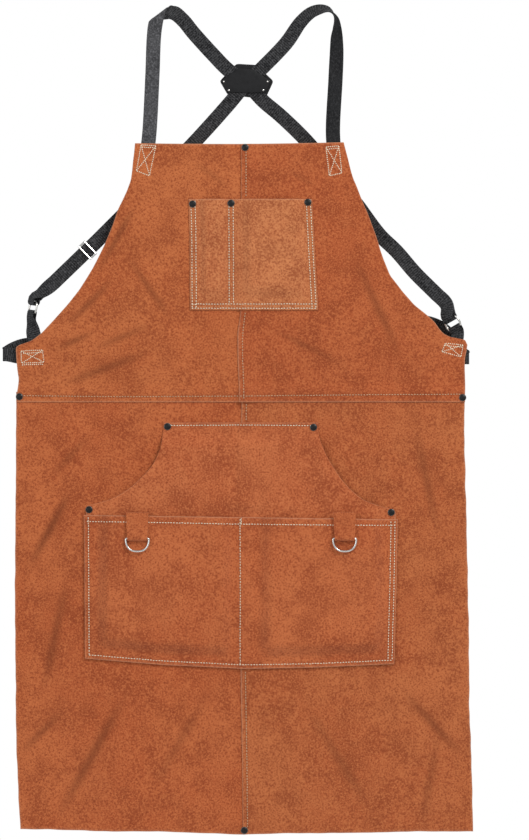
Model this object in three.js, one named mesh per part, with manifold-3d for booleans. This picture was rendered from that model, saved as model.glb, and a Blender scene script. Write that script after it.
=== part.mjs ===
// A leather welding apron with cross-back webbing straps, tool rings and riveted pockets.
// Millimetres, +Z up, +X to the viewer's right. The front faces -Y.
// The origin is the point between the tops of the two shoulder loops, where the apron hangs.
import * as THREE from 'three';
import { mergeVertices } from 'three/addons/utils/BufferGeometryUtils.js';
import Module from 'manifold-3d';

const wasm = await Module();
wasm.setup();

// Stock
const leatherThickness = 1.6;
const webbingWidth = 19;
const webbingThickness = 1.4;
const layGap = 0.3; // air between two pieces that touch

// Bib and skirt
const shoulderRise = 179.5; // hanging point to the bib's top edge
const bibTopWidth = 276;
const bibHeight = 341; // top edge to the waist seam's edge
const armholeDepth = 265;
const skirtWidth = 600;
const skirtHeight = 570;
const hemDip = 6; // the hem hangs this much lower at the middle
const lapWidth = 12; // how far one panel runs on behind the next
const lapFlat = 14;
const lapRamp = 8;

// Chest pocket
const chestPocketDrop = 74; // below the bib's top edge
const chestPocketHeight = 147;
const chestPocketLeft = -69;
const chestPocketRight = 97;
const chestDividerAt = -18.5; // left edge of the sewn strip between pen slot and pocket

// Hand pocket and tool pocket
const handPocketDrop = 29; // below the waist seam's edge
const handPocketTopHalf = 102;
const handEntryDrop = 110; // height of the curved hand entry
const toolPocketDrop = 154; // below the waist seam's edge
const toolPocketHalf = 208;
const toolPocketHeight = 187;
const toolPocketSag = 14; // the bottom edge is lower at the middle
const underInset = 3; // the hand pocket's edge under the tool pocket's edge
const pocketRoom = 5.2; // how far a filled pocket stands off
const sewnMargin = 12;
const pocketRamp = 20;

// Rivets
const rivetCapRadius = 4.75;
const rivetPostRadius = 1.4;
const rivetInset = 6; // rivet centre to the leather's edge
const patchRivetRadius = 1.7;

// Rings and sliders
const wireRadius = 1.4;
const toolRingWidth = 33.6; // over the wire
const toolRingDrop = 17; // wire centre to wire centre
const toolRingX = 137;
const waistRingWidth = 26.4;
const waistRingReach = 14;
const ringSwing = 8; // degrees that a waist ring rocks each way
const sliderLength = 12.4;
const sliderBarRadius = 1.1;
const sliderRail = 2;

// Ring tabs
const ringTabWidth = 29;
const ringTabNeck = 26.5;
const ringTabHeight = 34;
const ringTabOverhang = 6; // above the tool pocket's mouth

// Straps
const loopDepth = 34; // how far behind the bib the patch hangs
const tailLength = 17; // free end past the left slider's middle
const hiddenTailLength = 30;
const strapSewnLength = 44;

// Waist belt and its buckle
const beltHeight = 440; // below the hanging point, at the buckle
const beltSetBack = 12;
const buckleHeight = 26;
const buckleThickness = 9;
const buckleWall = 2;
const latchTravel = 26;

const pitch = leatherThickness + layGap; // one leather layer to the next
const strapPitch = webbingThickness + layGap;
const bibTop = -shoulderRise;
const waist = bibTop - bibHeight;
const hem = waist - skirtHeight;
const bibTopHalf = bibTopWidth / 2;
const skirtHalf = skirtWidth / 2;
const handTop = waist - handPocketDrop;
const toolTop = waist - toolPocketDrop;
const handHalf = toolPocketHalf - underInset;
const chestTop = bibTop - chestPocketDrop;
const chestBottom = chestTop - chestPocketHeight;

const suede = { color: 0xb2663b, roughness: 0.95, metalness: 0 };
const blackLeather = { color: 0x27262a, roughness: 0.75, metalness: 0 };
const blackWebbing = { color: 0x2b2a2c, roughness: 0.85, metalness: 0 };
const nickel = { color: 0xd6d4cf, roughness: 0.25, metalness: 1 };
const blackenedSteel = { color: 0x1b1b1d, roughness: 0.35, metalness: 0.8 };
const blackPlastic = { color: 0x1d1d1f, roughness: 0.5, metalness: 0 };

const group = new THREE.Group();

function addPart(name, geometry, finish) {
  const mesh = new THREE.Mesh(geometry, new THREE.MeshStandardMaterial(finish));
  mesh.name = name;
  group.add(mesh);
  return mesh;
}

function vec(x, y, z) {
  return new THREE.Vector3(x, y, z);
}

function clamp01(value) {
  return Math.min(1, Math.max(0, value));
}

// ---- joining and cutting ----

function toManifold(geometry) {
  const bare = geometry.clone();
  for (const name of Object.keys(bare.attributes)) {
    if (name !== 'position') bare.deleteAttribute(name);
  }
  const merged = mergeVertices(bare, 1e-4);
  const mesh = new wasm.Mesh({
    numProp: 3,
    vertProperties: new Float32Array(merged.attributes.position.array),
    triVerts: new Uint32Array(merged.index.array),
  });
  return new wasm.Manifold(mesh);
}

function fromManifold(solid) {
  const mesh = solid.getMesh();
  const geometry = new THREE.BufferGeometry();
  geometry.setAttribute('position', new THREE.BufferAttribute(new Float32Array(mesh.vertProperties), 3));
  geometry.setIndex(new THREE.BufferAttribute(new Uint32Array(mesh.triVerts), 1));
  return geometry;
}

function join(pieces) {
  return fromManifold(pieces.map(toManifold).reduce((whole, piece) => whole.add(piece)));
}

function cut(geometry, tools) {
  let solid = toManifold(geometry);
  for (const tool of tools) solid = solid.subtract(toManifold(tool));
  return fromManifold(solid);
}

// A round bar along Y, long enough to go through every layer.
function drill(spot, radius) {
  const bar = new THREE.CylinderGeometry(radius, radius, 200, 8);
  bar.translate(spot.x, 0, spot.z);
  return bar;
}

function block(low, high) {
  const box = new THREE.BoxGeometry(high.x - low.x, high.y - low.y, high.z - low.z);
  box.translate((low.x + high.x) / 2, (low.y + high.y) / 2, (low.z + high.z) / 2);
  return box;
}

function closedGeometry(points, triangles) {
  const geometry = new THREE.BufferGeometry();
  geometry.setAttribute('position', new THREE.Float32BufferAttribute(points.flatMap((p) => [p.x, p.y, p.z]), 3));
  geometry.setIndex(triangles);
  return geometry;
}

// ---- leather sheets ----

// rows of {x, z}, top row first and each from left to right; depthAt gives the sheet's middle in Y.
function leatherSheet(rows, depthAt) {
  const across = rows[0].length;
  const half = leatherThickness / 2;
  const flat = rows.flat();
  const front = flat.map((p) => vec(p.x, depthAt(p.x, p.z) - half, p.z));
  const back = flat.map((p) => vec(p.x, depthAt(p.x, p.z) + half, p.z));
  const triangles = [];
  const quad = (a, b, c, d) => triangles.push(a, b, c, a, c, d);
  const backOf = (index) => index + flat.length;
  for (let row = 0; row + 1 < rows.length; row += 1) {
    for (let col = 0; col + 1 < across; col += 1) {
      const a = row * across + col;
      const d = a + across;
      quad(a, d, d + 1, a + 1);
      quad(backOf(a), backOf(a + 1), backOf(d + 1), backOf(d));
    }
  }
  for (let row = 0; row + 1 < rows.length; row += 1) {
    const left = row * across;
    const right = left + across - 1;
    quad(backOf(left), backOf(left + across), left + across, left);
    quad(right, right + across, backOf(right + across), backOf(right));
  }
  for (let col = 0; col + 1 < across; col += 1) {
    const bottom = (rows.length - 1) * across + col;
    quad(col + 1, backOf(col + 1), backOf(col), col);
    quad(bottom, backOf(bottom), backOf(bottom + 1), bottom + 1);
  }
  return closedGeometry([...front, ...back], triangles);
}

// 1 over the centre lap, falling to 0 beside it.
function centreLap(x) {
  return clamp01((lapFlat + lapRamp - x) / lapRamp);
}

// The same, also falling to 0 on the left of the lap's edge.
function centreLapBoth(x) {
  return Math.min(centreLap(x), clamp01((x + lapRamp) / (lapRamp - layGap)));
}

// 1 over the waist lap, falling to 0 above it.
function waistLap(z) {
  return clamp01((waist + lapFlat + lapRamp - z) / lapRamp);
}

// Half the bib's width at a depth below its top edge, along the armhole curve.
const armholeShape = [
  [0, 0], [0.19, 0.06], [0.29, 0.13], [0.4, 0.2], [0.51, 0.27], [0.65, 0.375],
  [0.74, 0.475], [0.82, 0.58], [0.89, 0.685], [0.95, 0.795], [0.985, 0.885], [1, 0.985],
];

function bibHalfAt(depth) {
  const down = clamp01(depth / armholeDepth);
  const reach = skirtHalf - bibTopHalf;
  for (let i = 0; i + 1 < armholeShape.length; i += 1) {
    const [down0, out0] = armholeShape[i];
    const [down1, out1] = armholeShape[i + 1];
    if (down <= down1) return bibTopHalf + reach * (out0 + ((out1 - out0) * (down - down0)) / (down1 - down0));
  }
  return skirtHalf;
}

const edgeShares = [0, 0.25, 0.5, 0.75, 1];
const lapEnd = lapFlat + lapRamp;

// Columns of the left and right panels for a row whose outer edge is at half.
function leftColumns(half) {
  const outer = edgeShares.map((share) => -half + (half - lapEnd) * share);
  return [...outer, -lapRamp, -layGap, lapWidth];
}

function rightColumns(half) {
  const outer = edgeShares.map((share) => lapEnd + (half - lapEnd) * share);
  return [0, lapFlat, ...outer];
}

function bibRows(columnsFor) {
  const curve = armholeShape.map(([down]) => down * armholeDepth);
  const lower = [bibHeight - lapEnd, bibHeight - lapFlat, bibHeight];
  return [...curve, ...lower].map((depth) => {
    const half = depth < armholeDepth ? bibHalfAt(depth) : skirtHalf;
    return columnsFor(half).map((x) => ({ x, z: bibTop - depth }));
  });
}

function hemAt(x) {
  return hem - hemDip * (1 - (x / skirtHalf) ** 2);
}

function skirtRows(columnsFor) {
  const shares = [0, 0.2, 0.4, 0.6, 0.8, 1];
  const top = columnsFor(skirtHalf).map((x) => ({ x, z: waist + lapWidth }));
  return [top, ...shares.map((share) => columnsFor(skirtHalf).map((x) => ({ x, z: waist + (hemAt(x) - waist) * share })))];
}

function skirtRightDepth(x) {
  return -pitch * centreLap(x);
}

function bibLeftDepth(x, z) {
  return -pitch * waistLap(z) * (1 + clamp01((x + lapRamp) / (lapRamp - layGap)));
}

function bibRightDepth(x, z) {
  const lap = centreLap(x);
  return -pitch * (lap * (1 + 2 * waistLap(z)) + (1 - lap) * waistLap(z));
}

// ---- pockets ----

function rise(distance, length) {
  return clamp01(distance / length);
}

// 0 on the sewn strip between low and high, rising to 1 beside it.
function beside(x, low, high, length) {
  return rise(Math.max(low - x, x - high, 0), length);
}

function chestPocketDepth(x, z) {
  const small = Math.min(rise(x - chestPocketLeft - sewnMargin, sewnMargin), rise(chestDividerAt - x, sewnMargin));
  const large = Math.min(rise(x + layGap, lapFlat), rise(chestPocketRight - sewnMargin - x, sewnMargin));
  const standOff = Math.max(small, large) * rise(z - chestBottom - sewnMargin, pocketRamp);
  return -pitch * (1 + centreLapBoth(x)) - pocketRoom * standOff;
}

function chestPocketRows() {
  const smallRight = chestDividerAt - sewnMargin;
  const columns = [
    chestPocketLeft, chestPocketLeft + sewnMargin, chestPocketLeft + 2 * sewnMargin, smallRight, chestDividerAt,
    -lapRamp, -layGap, lapFlat, lapEnd, chestPocketRight - 2 * sewnMargin, chestPocketRight - sewnMargin,
    chestPocketRight,
  ];
  const heights = [
    chestTop, chestTop - chestPocketHeight / 3, chestBottom + sewnMargin + pocketRamp, chestBottom + sewnMargin,
    chestBottom,
  ];
  return heights.map((z) => columns.map((x) => ({ x, z })));
}

function toolBottomAt(x) {
  return toolTop - toolPocketHeight - toolPocketSag * (1 - (x / toolPocketHalf) ** 2);
}

const entryReach = handHalf - handPocketTopHalf;
const entryEnd = handTop - handEntryDrop;

// Half the hand pocket's width: a quarter ellipse for the hand entry, then straight down.
function handHalfAt(z) {
  const down = clamp01((handTop - z) / handEntryDrop);
  return handHalf - entryReach * Math.sqrt(1 - down ** 2);
}

// How far the hand pocket stands off: its side seams end at the hand entries, its middle seam at the
// tool pocket's mouth.
function handStandOff(x, z) {
  const middleOpen = rise(z - toolTop, pocketRamp);
  const sideOpen = rise(z - entryEnd, pocketRamp);
  const middle = Math.max(middleOpen, beside(x, -lapRamp, lapEnd, pocketRamp));
  const side = Math.max(sideOpen, rise(handHalf - sewnMargin - Math.abs(x), pocketRamp));
  const bottom = rise(z - toolBottomAt(x) - sewnMargin, pocketRamp);
  return Math.min(middle, side) * bottom;
}

function handPocketDepth(x, z) {
  const top = rise(handTop - sewnMargin - z, pocketRamp);
  return -pitch * (1 + centreLapBoth(x)) - pocketRoom * top * handStandOff(x, z);
}

function toolPocketDepth(x, z) {
  const middle = beside(x, -lapRamp, lapEnd, pocketRamp);
  const side = rise(handHalf - sewnMargin - Math.abs(x), pocketRamp);
  const bottom = rise(z - toolBottomAt(x) - sewnMargin, pocketRamp);
  return handPocketDepth(x, z) - pitch - pocketRoom * Math.min(middle, side) * bottom;
}

function lowerColumns(half, inner) {
  const margin = inner - sewnMargin;
  const plateau = margin - pocketRamp;
  return [
    -half, -margin, -plateau, -lapRamp - pocketRamp, -lapRamp, -layGap, lapFlat, lapEnd, lapEnd + pocketRamp,
    plateau, margin, half,
  ];
}

// Rows that the two lower pockets share, from the tool pocket's mouth to their bottom edges.
function lowerRows(half, lift) {
  const fromBottom = [sewnMargin + pocketRamp, sewnMargin, lift];
  const columns = lowerColumns(half, handHalf);
  const mouth = columns.map((x) => ({ x, z: toolTop }));
  const middle = columns.map((x) => ({ x, z: toolTop - toolPocketHeight / 3 }));
  return [mouth, middle, ...fromBottom.map((up) => columns.map((x) => ({ x, z: toolBottomAt(x) + up })))];
}

function handPocketRows() {
  const depths = [0, sewnMargin, sewnMargin + pocketRamp, 0.5, 0.7, 0.82, 0.92, 1];
  const upper = depths.map((depth) => {
    const z = handTop - (depth <= 1 ? depth * handEntryDrop : depth);
    const half = handHalfAt(z);
    return lowerColumns(half, half).map((x) => ({ x, z }));
  });
  return [...upper, ...lowerRows(handHalf, underInset)];
}

// ---- rivets ----

const hemRivetDrop = bibHeight + skirtHeight - rivetInset;
const rivetSpots = {
  rivet_bib_top: { x: rivetInset, z: bibTop - rivetInset },
  rivet_chest_left: { x: chestPocketLeft + rivetInset, z: chestTop - rivetInset },
  rivet_chest_middle: { x: (chestDividerAt - lapRamp) / 2, z: chestTop - rivetInset },
  rivet_chest_right: { x: chestPocketRight - rivetInset, z: chestTop - rivetInset },
  rivet_waist_left: { x: -skirtHalf + rivetInset, z: waist + rivetInset },
  rivet_waist_right: { x: skirtHalf - rivetInset, z: waist + rivetInset },
  rivet_hand_left: { x: -handPocketTopHalf + rivetInset, z: handTop - rivetInset },
  rivet_hand_right: { x: handPocketTopHalf - rivetInset, z: handTop - rivetInset },
  rivet_entry_left: { x: -handHalf + rivetInset, z: entryEnd - rivetInset },
  rivet_entry_right: { x: handHalf - rivetInset, z: entryEnd - rivetInset },
  rivet_hem: { x: rivetInset, z: bibTop - hemRivetDrop },
};

const holeRadius = rivetPostRadius + layGap;
const rivetHoles = Object.values(rivetSpots).map((spot) => drill(spot, holeRadius));

// Every rivet clamps two leather layers, at levels 0 and 1.
const rivetFront = -pitch - leatherThickness / 2 - layGap;
const rivetBack = leatherThickness / 2 + layGap;

function turned(profile, sides) {
  const shape = new THREE.LatheGeometry(profile.map(([r, y]) => new THREE.Vector2(r, y)), sides);
  return shape;
}

function rivetCap() {
  const domeHeight = 2;
  const postEnd = rivetBack + 1.1;
  return turned([
    [0, postEnd], [rivetPostRadius, postEnd], [rivetPostRadius, rivetFront], [rivetCapRadius, rivetFront],
    [rivetCapRadius, rivetFront - 0.7], [0.72 * rivetCapRadius, rivetFront - 0.8 * domeHeight],
    [0, rivetFront - domeHeight],
  ].reverse(), 12);
}

function rivetBur() {
  const boreEnd = rivetBack + 1.1 + layGap;
  const backEnd = boreEnd + 0.7;
  return turned([
    [holeRadius, rivetBack], [rivetCapRadius, rivetBack], [rivetCapRadius, backEnd - 0.6],
    [0.75 * rivetCapRadius, backEnd], [0, backEnd], [0, boreEnd], [holeRadius, boreEnd], [holeRadius, rivetBack],
  ], 12);
}

// ---- wire rings ----

// Local X along the straight bar, local Y from the bar to the bow.
function dRing(width, reach, bluntness) {
  const halfWidth = width / 2 - wireRadius;
  const corner = 1.6;
  const path = [[-halfWidth + corner, 0], [0, 0], [halfWidth - corner, 0]];
  const steps = 14;
  for (let i = 0; i <= steps; i += 1) {
    const angle = (Math.PI * (i + 0.6)) / (steps + 1.2);
    const c = Math.cos(angle);
    const across = Math.sign(c) * Math.abs(c) ** (2 / bluntness);
    path.push([halfWidth * across, reach * Math.sin(angle) ** (2 / bluntness)]);
  }
  return closedWire(path, wireRadius, 8);
}

// A round wire swept along a closed path in the local XY plane.
function closedWire(path, radius, sides) {
  const count = path.length;
  const points = [];
  for (let i = 0; i < count; i += 1) {
    const [x, y] = path[i];
    const [px, py] = path[(i + count - 1) % count];
    const [nx, ny] = path[(i + 1) % count];
    const length = Math.hypot(nx - px, ny - py);
    const outX = (ny - py) / length;
    const outY = -(nx - px) / length;
    for (let k = 0; k < sides; k += 1) {
      const angle = (2 * Math.PI * (k + 0.5)) / sides;
      const out = radius * Math.cos(angle);
      points.push(vec(x + outX * out, y + outY * out, radius * Math.sin(angle)));
    }
  }
  const triangles = [];
  for (let i = 0; i < count; i += 1) {
    for (let k = 0; k < sides; k += 1) {
      const a = i * sides + k;
      const b = i * sides + ((k + 1) % sides);
      const c = ((i + 1) % count) * sides + ((k + 1) % sides);
      const d = ((i + 1) % count) * sides + k;
      triangles.push(a, c, b, a, d, c);
    }
  }
  return closedGeometry(points, triangles);
}

function placed(geometry, xAxis, yAxis, at) {
  const zAxis = xAxis.clone().cross(yAxis);
  const matrix = new THREE.Matrix4().makeBasis(xAxis, yAxis, zAxis).setPosition(at);
  geometry.applyMatrix4(matrix);
  return geometry;
}

// ---- webbing ----

// A flat strip along stations of {point, across}; a station may have its own width.
function strip(stations, width, thickness) {
  const points = [];
  const count = stations.length;
  stations.forEach((station, i) => {
    const before = stations[Math.max(0, i - 1)].point;
    const after = stations[Math.min(count - 1, i + 1)].point;
    const along = after.clone().sub(before).normalize();
    const across = station.across.clone().addScaledVector(along, -station.across.dot(along)).normalize();
    const up = along.clone().cross(across);
    const half = (station.width ?? width) / 2;
    for (const [side, face] of [[-1, -1], [1, -1], [1, 1], [-1, 1]]) {
      points.push(station.point.clone().addScaledVector(across, side * half)
        .addScaledVector(up, (face * thickness) / 2));
    }
  });
  const triangles = [];
  for (let i = 0; i + 1 < count; i += 1) {
    for (let k = 0; k < 4; k += 1) {
      const a = i * 4 + k;
      const b = i * 4 + ((k + 1) % 4);
      triangles.push(a, b, b + 4, a, b + 4, a + 4);
    }
  }
  const last = (count - 1) * 4;
  triangles.push(0, 2, 1, 0, 3, 2, last, last + 1, last + 2, last, last + 2, last + 3);
  return closedGeometry(points, triangles);
}

// Evenly spaced stations on a smooth curve through knots of {point, across}.
function smoothStations(knots, steps) {
  const curve = new THREE.CatmullRomCurve3(knots.map((knot) => knot.point), false, 'centripetal');
  const turns = new THREE.CatmullRomCurve3(knots.map((knot) => knot.across), false, 'centripetal');
  const stations = [];
  for (let i = 0; i <= steps; i += 1) {
    stations.push({ point: curve.getPoint(i / steps), across: turns.getPoint(i / steps).normalize() });
  }
  return stations;
}

// A strip that runs to a bar, round it and back. Stations of {point, across, spread} lead to the bar's
// middle; spread is half the distance between the two layers, and side is the layer that comes first.
function roundTheBar(stations, side) {
  const layer = (sign) => stations.map((station, i) => {
    const before = stations[Math.max(0, i - 1)].point;
    const after = stations[Math.min(stations.length - 1, i + 1)].point;
    const along = after.clone().sub(before).normalize();
    const up = along.clone().cross(station.across).normalize();
    return { ...station, point: station.point.clone().addScaledVector(up, sign * station.spread), along, up };
  });
  const there = layer(side);
  const back = layer(-side).reverse();
  const end = stations.at(-1);
  const { along, up } = there.at(-1);
  const turn = [];
  const steps = 6;
  for (let i = 1; i < steps; i += 1) {
    const angle = (Math.PI * i) / steps;
    turn.push({
      ...end,
      point: end.point.clone()
        .addScaledVector(up, side * end.spread * Math.cos(angle))
        .addScaledVector(along, end.spread * Math.sin(angle)),
    });
  }
  return [...there, ...turn, ...back];
}

// ---- panels and pockets ----

addPart('skirt_panel_left', cut(leatherSheet(skirtRows(leftColumns), () => 0), rivetHoles), suede);
addPart('skirt_panel_right', cut(leatherSheet(skirtRows(rightColumns), skirtRightDepth), rivetHoles), suede);
addPart('bib_panel_left', cut(leatherSheet(bibRows(leftColumns), bibLeftDepth), rivetHoles), suede);
addPart('bib_panel_right', cut(leatherSheet(bibRows(rightColumns), bibRightDepth), rivetHoles), suede);
addPart('chest_pocket', cut(leatherSheet(chestPocketRows(), chestPocketDepth), rivetHoles), suede);
addPart('hand_pocket', cut(leatherSheet(handPocketRows(), handPocketDepth), rivetHoles), suede);
addPart('tool_pocket', leatherSheet(lowerRows(toolPocketHalf, 0), toolPocketDepth), suede);

for (const [name, spot] of Object.entries(rivetSpots)) {
  const at = vec(spot.x, 0, spot.z);
  addPart(name, rivetCap(), blackenedSteel).position.copy(at);
  addPart(name.replace('rivet', 'rivet_back'), rivetBur(), blackenedSteel).position.copy(at);
}

// ---- tool rings and their tabs ----

const sides = { left: -1, right: 1 };
const tabTop = toolTop + ringTabOverhang;
const tabBarZ = tabTop - ringTabHeight;
const tabBack = toolPocketDepth(toolRingX, toolTop) - pitch;
const tabTurn = wireRadius + layGap + leatherThickness / 2;
const tabBarY = tabBack - tabTurn;

function ringTab(x) {
  const level = (z, spread, width) => (
    { point: vec(x, tabBack - spread, z), across: vec(1, 0, 0), spread, width }
  );
  const sewn = pitch / 2;
  const sewnEnd = tabTop - ringTabHeight / 2;
  return strip(roundTheBar([
    level(tabTop, sewn, ringTabWidth),
    level(sewnEnd, sewn, ringTabWidth),
    level((sewnEnd + tabBarZ) / 2, (sewn + tabTurn) / 2, (ringTabWidth + ringTabNeck) / 2),
    level(tabBarZ + 2, tabTurn, ringTabNeck),
    level(tabBarZ, tabTurn, ringTabNeck),
  ], 1), ringTabWidth, leatherThickness);
}

for (const [name, sign] of Object.entries(sides)) {
  const x = sign * toolRingX;
  addPart(`ring_tab_${name}`, ringTab(x), suede);
  const ring = placed(dRing(toolRingWidth, toolRingDrop, 2.4), vec(1, 0, 0), vec(0, 0, -1), vec(x, tabBarY, tabBarZ));
  addPart(`tool_ring_${name}`, ring, nickel);
}

// ---- the patch where the straps cross ----

const patchMiddle = { x: 6.6, z: -97 };
const patchDepth = loopDepth;
const patchRivets = [
  { x: -23, z: -95.5 }, { x: 35.3, z: -95.5 }, { x: 29.6, z: -107 }, { x: -16.4, z: -107 },
];
const patchHoles = patchRivets.map((spot) => drill(spot, patchRivetRadius / 2 + layGap));

function patchPlate(outline, y) {
  const shape = new THREE.Shape(outline.map(([x, z]) => new THREE.Vector2(patchMiddle.x + x, patchMiddle.z + z)));
  const plate = new THREE.ExtrudeGeometry(shape, { depth: leatherThickness, bevelEnabled: false });
  plate.rotateX(Math.PI / 2);
  plate.translate(0, y + leatherThickness / 2, 0);
  return cut(plate, patchHoles);
}

const coverDepth = patchDepth - strapPitch - webbingThickness / 2 - layGap - leatherThickness / 2;
const baseDepth = patchDepth + webbingThickness / 2 + layGap + leatherThickness / 2;
addPart('cross_patch_base', patchPlate([
  [-13, 25.5], [13.2, 24], [36.6, 2.5], [25.6, -21.5], [-24.5, -16], [-35.2, 2.5],
], baseDepth), blackLeather);
addPart('cross_patch_cover', patchPlate([
  [-9.8, 19.6], [9, 17.5], [32.4, 2.6], [25.8, -13], [-26, -13], [-32.6, 3],
], coverDepth), blackLeather);

patchRivets.forEach((spot, i) => {
  const head = patchRivetRadius;
  const shank = patchRivetRadius / 2;
  const front = coverDepth - leatherThickness / 2 - layGap;
  const back = baseDepth + leatherThickness / 2 + layGap;
  const rivet = turned([
    [0, front - 0.9], [0.7 * head, front - 0.7], [head, front], [shank, front], [shank, back], [head, back],
    [0.7 * head, back + 0.7], [0, back + 0.9],
  ], 8);
  addPart(`patch_rivet_${i + 1}`, rivet, nickel).position.set(spot.x, 0, spot.z);
});

// ---- waist rings: where each one sits, which way its bar lies and which way its tab pulls ----

const swingRoom = waistRingReach * Math.sin((ringSwing * Math.PI) / 180);
const strapTurn = wireRadius + webbingThickness / 2 + swingRoom + layGap;
const tabTurnAtRing = wireRadius + webbingThickness / 2 + layGap;
const straightAtWire = 4; // webbing runs straight this far before it turns round a wire
const bendLead = 6; // a strap starts to bend this far before its straight length ends
const splayLength = 12; // over which two webbing layers part to pass a wire

function unitIn(x, z) {
  return vec(x, 0, z).normalize();
}

// The strap's across direction, turned by twist degrees out of the X-Z plane.
function acrossFor(along, twist, sign) {
  const angle = (twist * Math.PI) / 180;
  const flat = vec(-along.z, 0, along.x).normalize().multiplyScalar(-sign);
  return flat.multiplyScalar(Math.cos(angle)).add(vec(0, sign * Math.sin(angle), 0));
}

const waistSides = {
  left: {
    sign: -1, bow: vec(-275, 11, -389), pull: unitIn(-0.16, -0.99), twist: 64,
    slider: vec(-204, 16, -320.5), run: unitIn(-71, -68.5), straight: 62, via: [],
    tail: tailLength, tailSide: 1, tabFoot: -274,
  },
  right: {
    sign: 1, bow: vec(277, 11, -411), pull: unitIn(0.5, -0.87), twist: 40,
    slider: vec(142, 20, -244), run: unitIn(34, -44.5), straight: 26,
    via: [vec(181, 18, -299), vec(210, 16, -336), vec(244, 14, -369), vec(264, 12, -391)],
    tail: hiddenTailLength, tailSide: -1, tabFoot: 285,
  },
};

for (const [name, side] of Object.entries(waistSides)) {
  side.barAcross = acrossFor(side.pull, side.twist, side.sign);
  side.bar = side.bow.clone().addScaledVector(side.pull, waistRingReach);
  const ring = dRing(waistRingWidth, waistRingReach, 5);
  addPart(`waist_ring_${name}`, placed(ring, side.barAcross, side.pull.clone().negate(), side.bar), nickel);
}

// ---- sliders ----

// Local X along the strap, local Y across it, local Z through it.
function slider() {
  const slot = 2 * webbingThickness + 3 * layGap;
  const barAt = slot / 2 + sliderBarRadius;
  const inner = webbingWidth / 2 + 0.5;
  const bar = (x, z) => new THREE.CylinderGeometry(sliderBarRadius, sliderBarRadius, 2 * inner + sliderRail, 8)
    .translate(x, 0, z);
  const reach = sliderLength / 2 - sliderBarRadius;
  const high = barAt + 0.6 * sliderBarRadius;
  const rail = (sign) => block(
    vec(-sliderLength / 2, sign > 0 ? inner : -inner - sliderRail, -high),
    vec(sliderLength / 2, sign > 0 ? inner + sliderRail : -inner, high),
  );
  return join([rail(-1), rail(1), bar(-reach, barAt), bar(reach, barAt), bar(0, -barAt)]);
}

for (const [name, side] of Object.entries(waistSides)) {
  const across = side.run.clone().cross(vec(0, 1, 0));
  addPart(`slider_${name}`, placed(slider(), side.run, across, side.slider), nickel);
}

// ---- shoulder straps ----

const bibBack = leatherThickness / 2 + layGap + webbingThickness / 2;

function knot(x, y, z, across) {
  return { point: vec(x, y, z), across };
}

function smoothStep(share) {
  const within = clamp01(share);
  return within * within * (3 - 2 * within);
}

// Half the distance between two layers, a given way before the wire they turn round.
function splay(away, turn) {
  const closed = strapPitch / 2;
  return closed + (turn - closed) * smoothStep(1 - (away - straightAtWire) / splayLength);
}

// The doubled end of a strap: through its slider, on to the ring's bow and round it.
function strapToRing(side) {
  const twistLength = 40;
  const stepLength = 6.5;
  const tailEnd = side.slider.clone().addScaledVector(side.run, -side.tail);
  const straightEnd = side.slider.clone().addScaledVector(side.run, side.straight);
  const beforeEnd = side.slider.clone().addScaledVector(side.run, side.straight - bendLead);
  const nearBow = side.bow.clone().addScaledVector(side.pull, -straightAtWire);
  const curve = new THREE.CatmullRomCurve3(
    [tailEnd, side.slider, beforeEnd, straightEnd, ...side.via, nearBow], false, 'centripetal',
  );
  const length = curve.getLength();
  const steps = Math.round(length / stepLength);
  const stations = [];
  for (let i = 0; i < steps; i += 1) {
    const share = i / steps;
    const away = length * (1 - share) + straightAtWire;
    const across = acrossFor(curve.getTangentAt(share), side.twist * smoothStep(1 - away / twistLength), side.sign);
    stations.push({ point: curve.getPointAt(share), across, spread: splay(away, strapTurn) });
  }
  for (const point of [nearBow, side.bow]) stations.push({ point, across: side.barAcross, spread: strapTurn });
  return roundTheBar(stations, side.tailSide);
}

function shoulderStrap(knots, side) {
  const doubled = strapToRing(side);
  const lead = smoothStations([...knots, doubled[0]], 80);
  return cut(strip([...lead.slice(0, -1), ...doubled], webbingWidth, webbingThickness), patchHoles);
}

const frontPass = patchDepth - strapPitch;

addPart('shoulder_strap_left', shoulderStrap([
  knot(-129.5, bibBack, bibTop - strapSewnLength, unitIn(-0.97, -0.17)),
  knot(-124.5, bibBack, bibTop - 12, unitIn(-0.98, -0.14)),
  knot(-121.5, 3.5, -165, unitIn(-1, -0.05)),
  knot(-117.6, 6, -90, unitIn(-1, 0.04)),
  knot(-115.4, 7.5, -36, unitIn(-1, 0.05)),
  knot(-112.6, 8, -16.5, unitIn(-0.98, 0.2)),
  knot(-110.9, 9.2, -9.8, vec(-0.848, 0.529, 0.025)),
  knot(-108.8, 12, -6.8, vec(-0.531, 0.748, -0.398)),
  knot(-105.2, 14.8, -5.6, vec(-0.214, 0.529, -0.821)),
  knot(-100.7, 16, -5.8, vec(-0.08, 0, -0.996)),
  knot(-90, 18.5, -7.4, unitIn(-0.3, -0.95)),
  knot(-79.5, 21.5, -14.8, unitIn(-0.6, -0.8)),
  knot(-65.5, 26, -30.5, unitIn(-0.75, -0.66)),
  knot(-39, patchDepth - 1, -57.8, unitIn(-0.74, -0.67)),
  knot(-17.4, patchDepth, -79.8, unitIn(-0.72, -0.69)),
  knot(patchMiddle.x, patchDepth, patchMiddle.z, unitIn(-0.68, -0.73)),
  knot(29, patchDepth - 0.3, -121, unitIn(-0.62, -0.78)),
  knot(53, patchDepth - 3, -141.5, unitIn(-0.64, -0.77)),
  knot(88, 27, -176, unitIn(-0.7, -0.71)),
], waistSides.right), blackWebbing);


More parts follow.
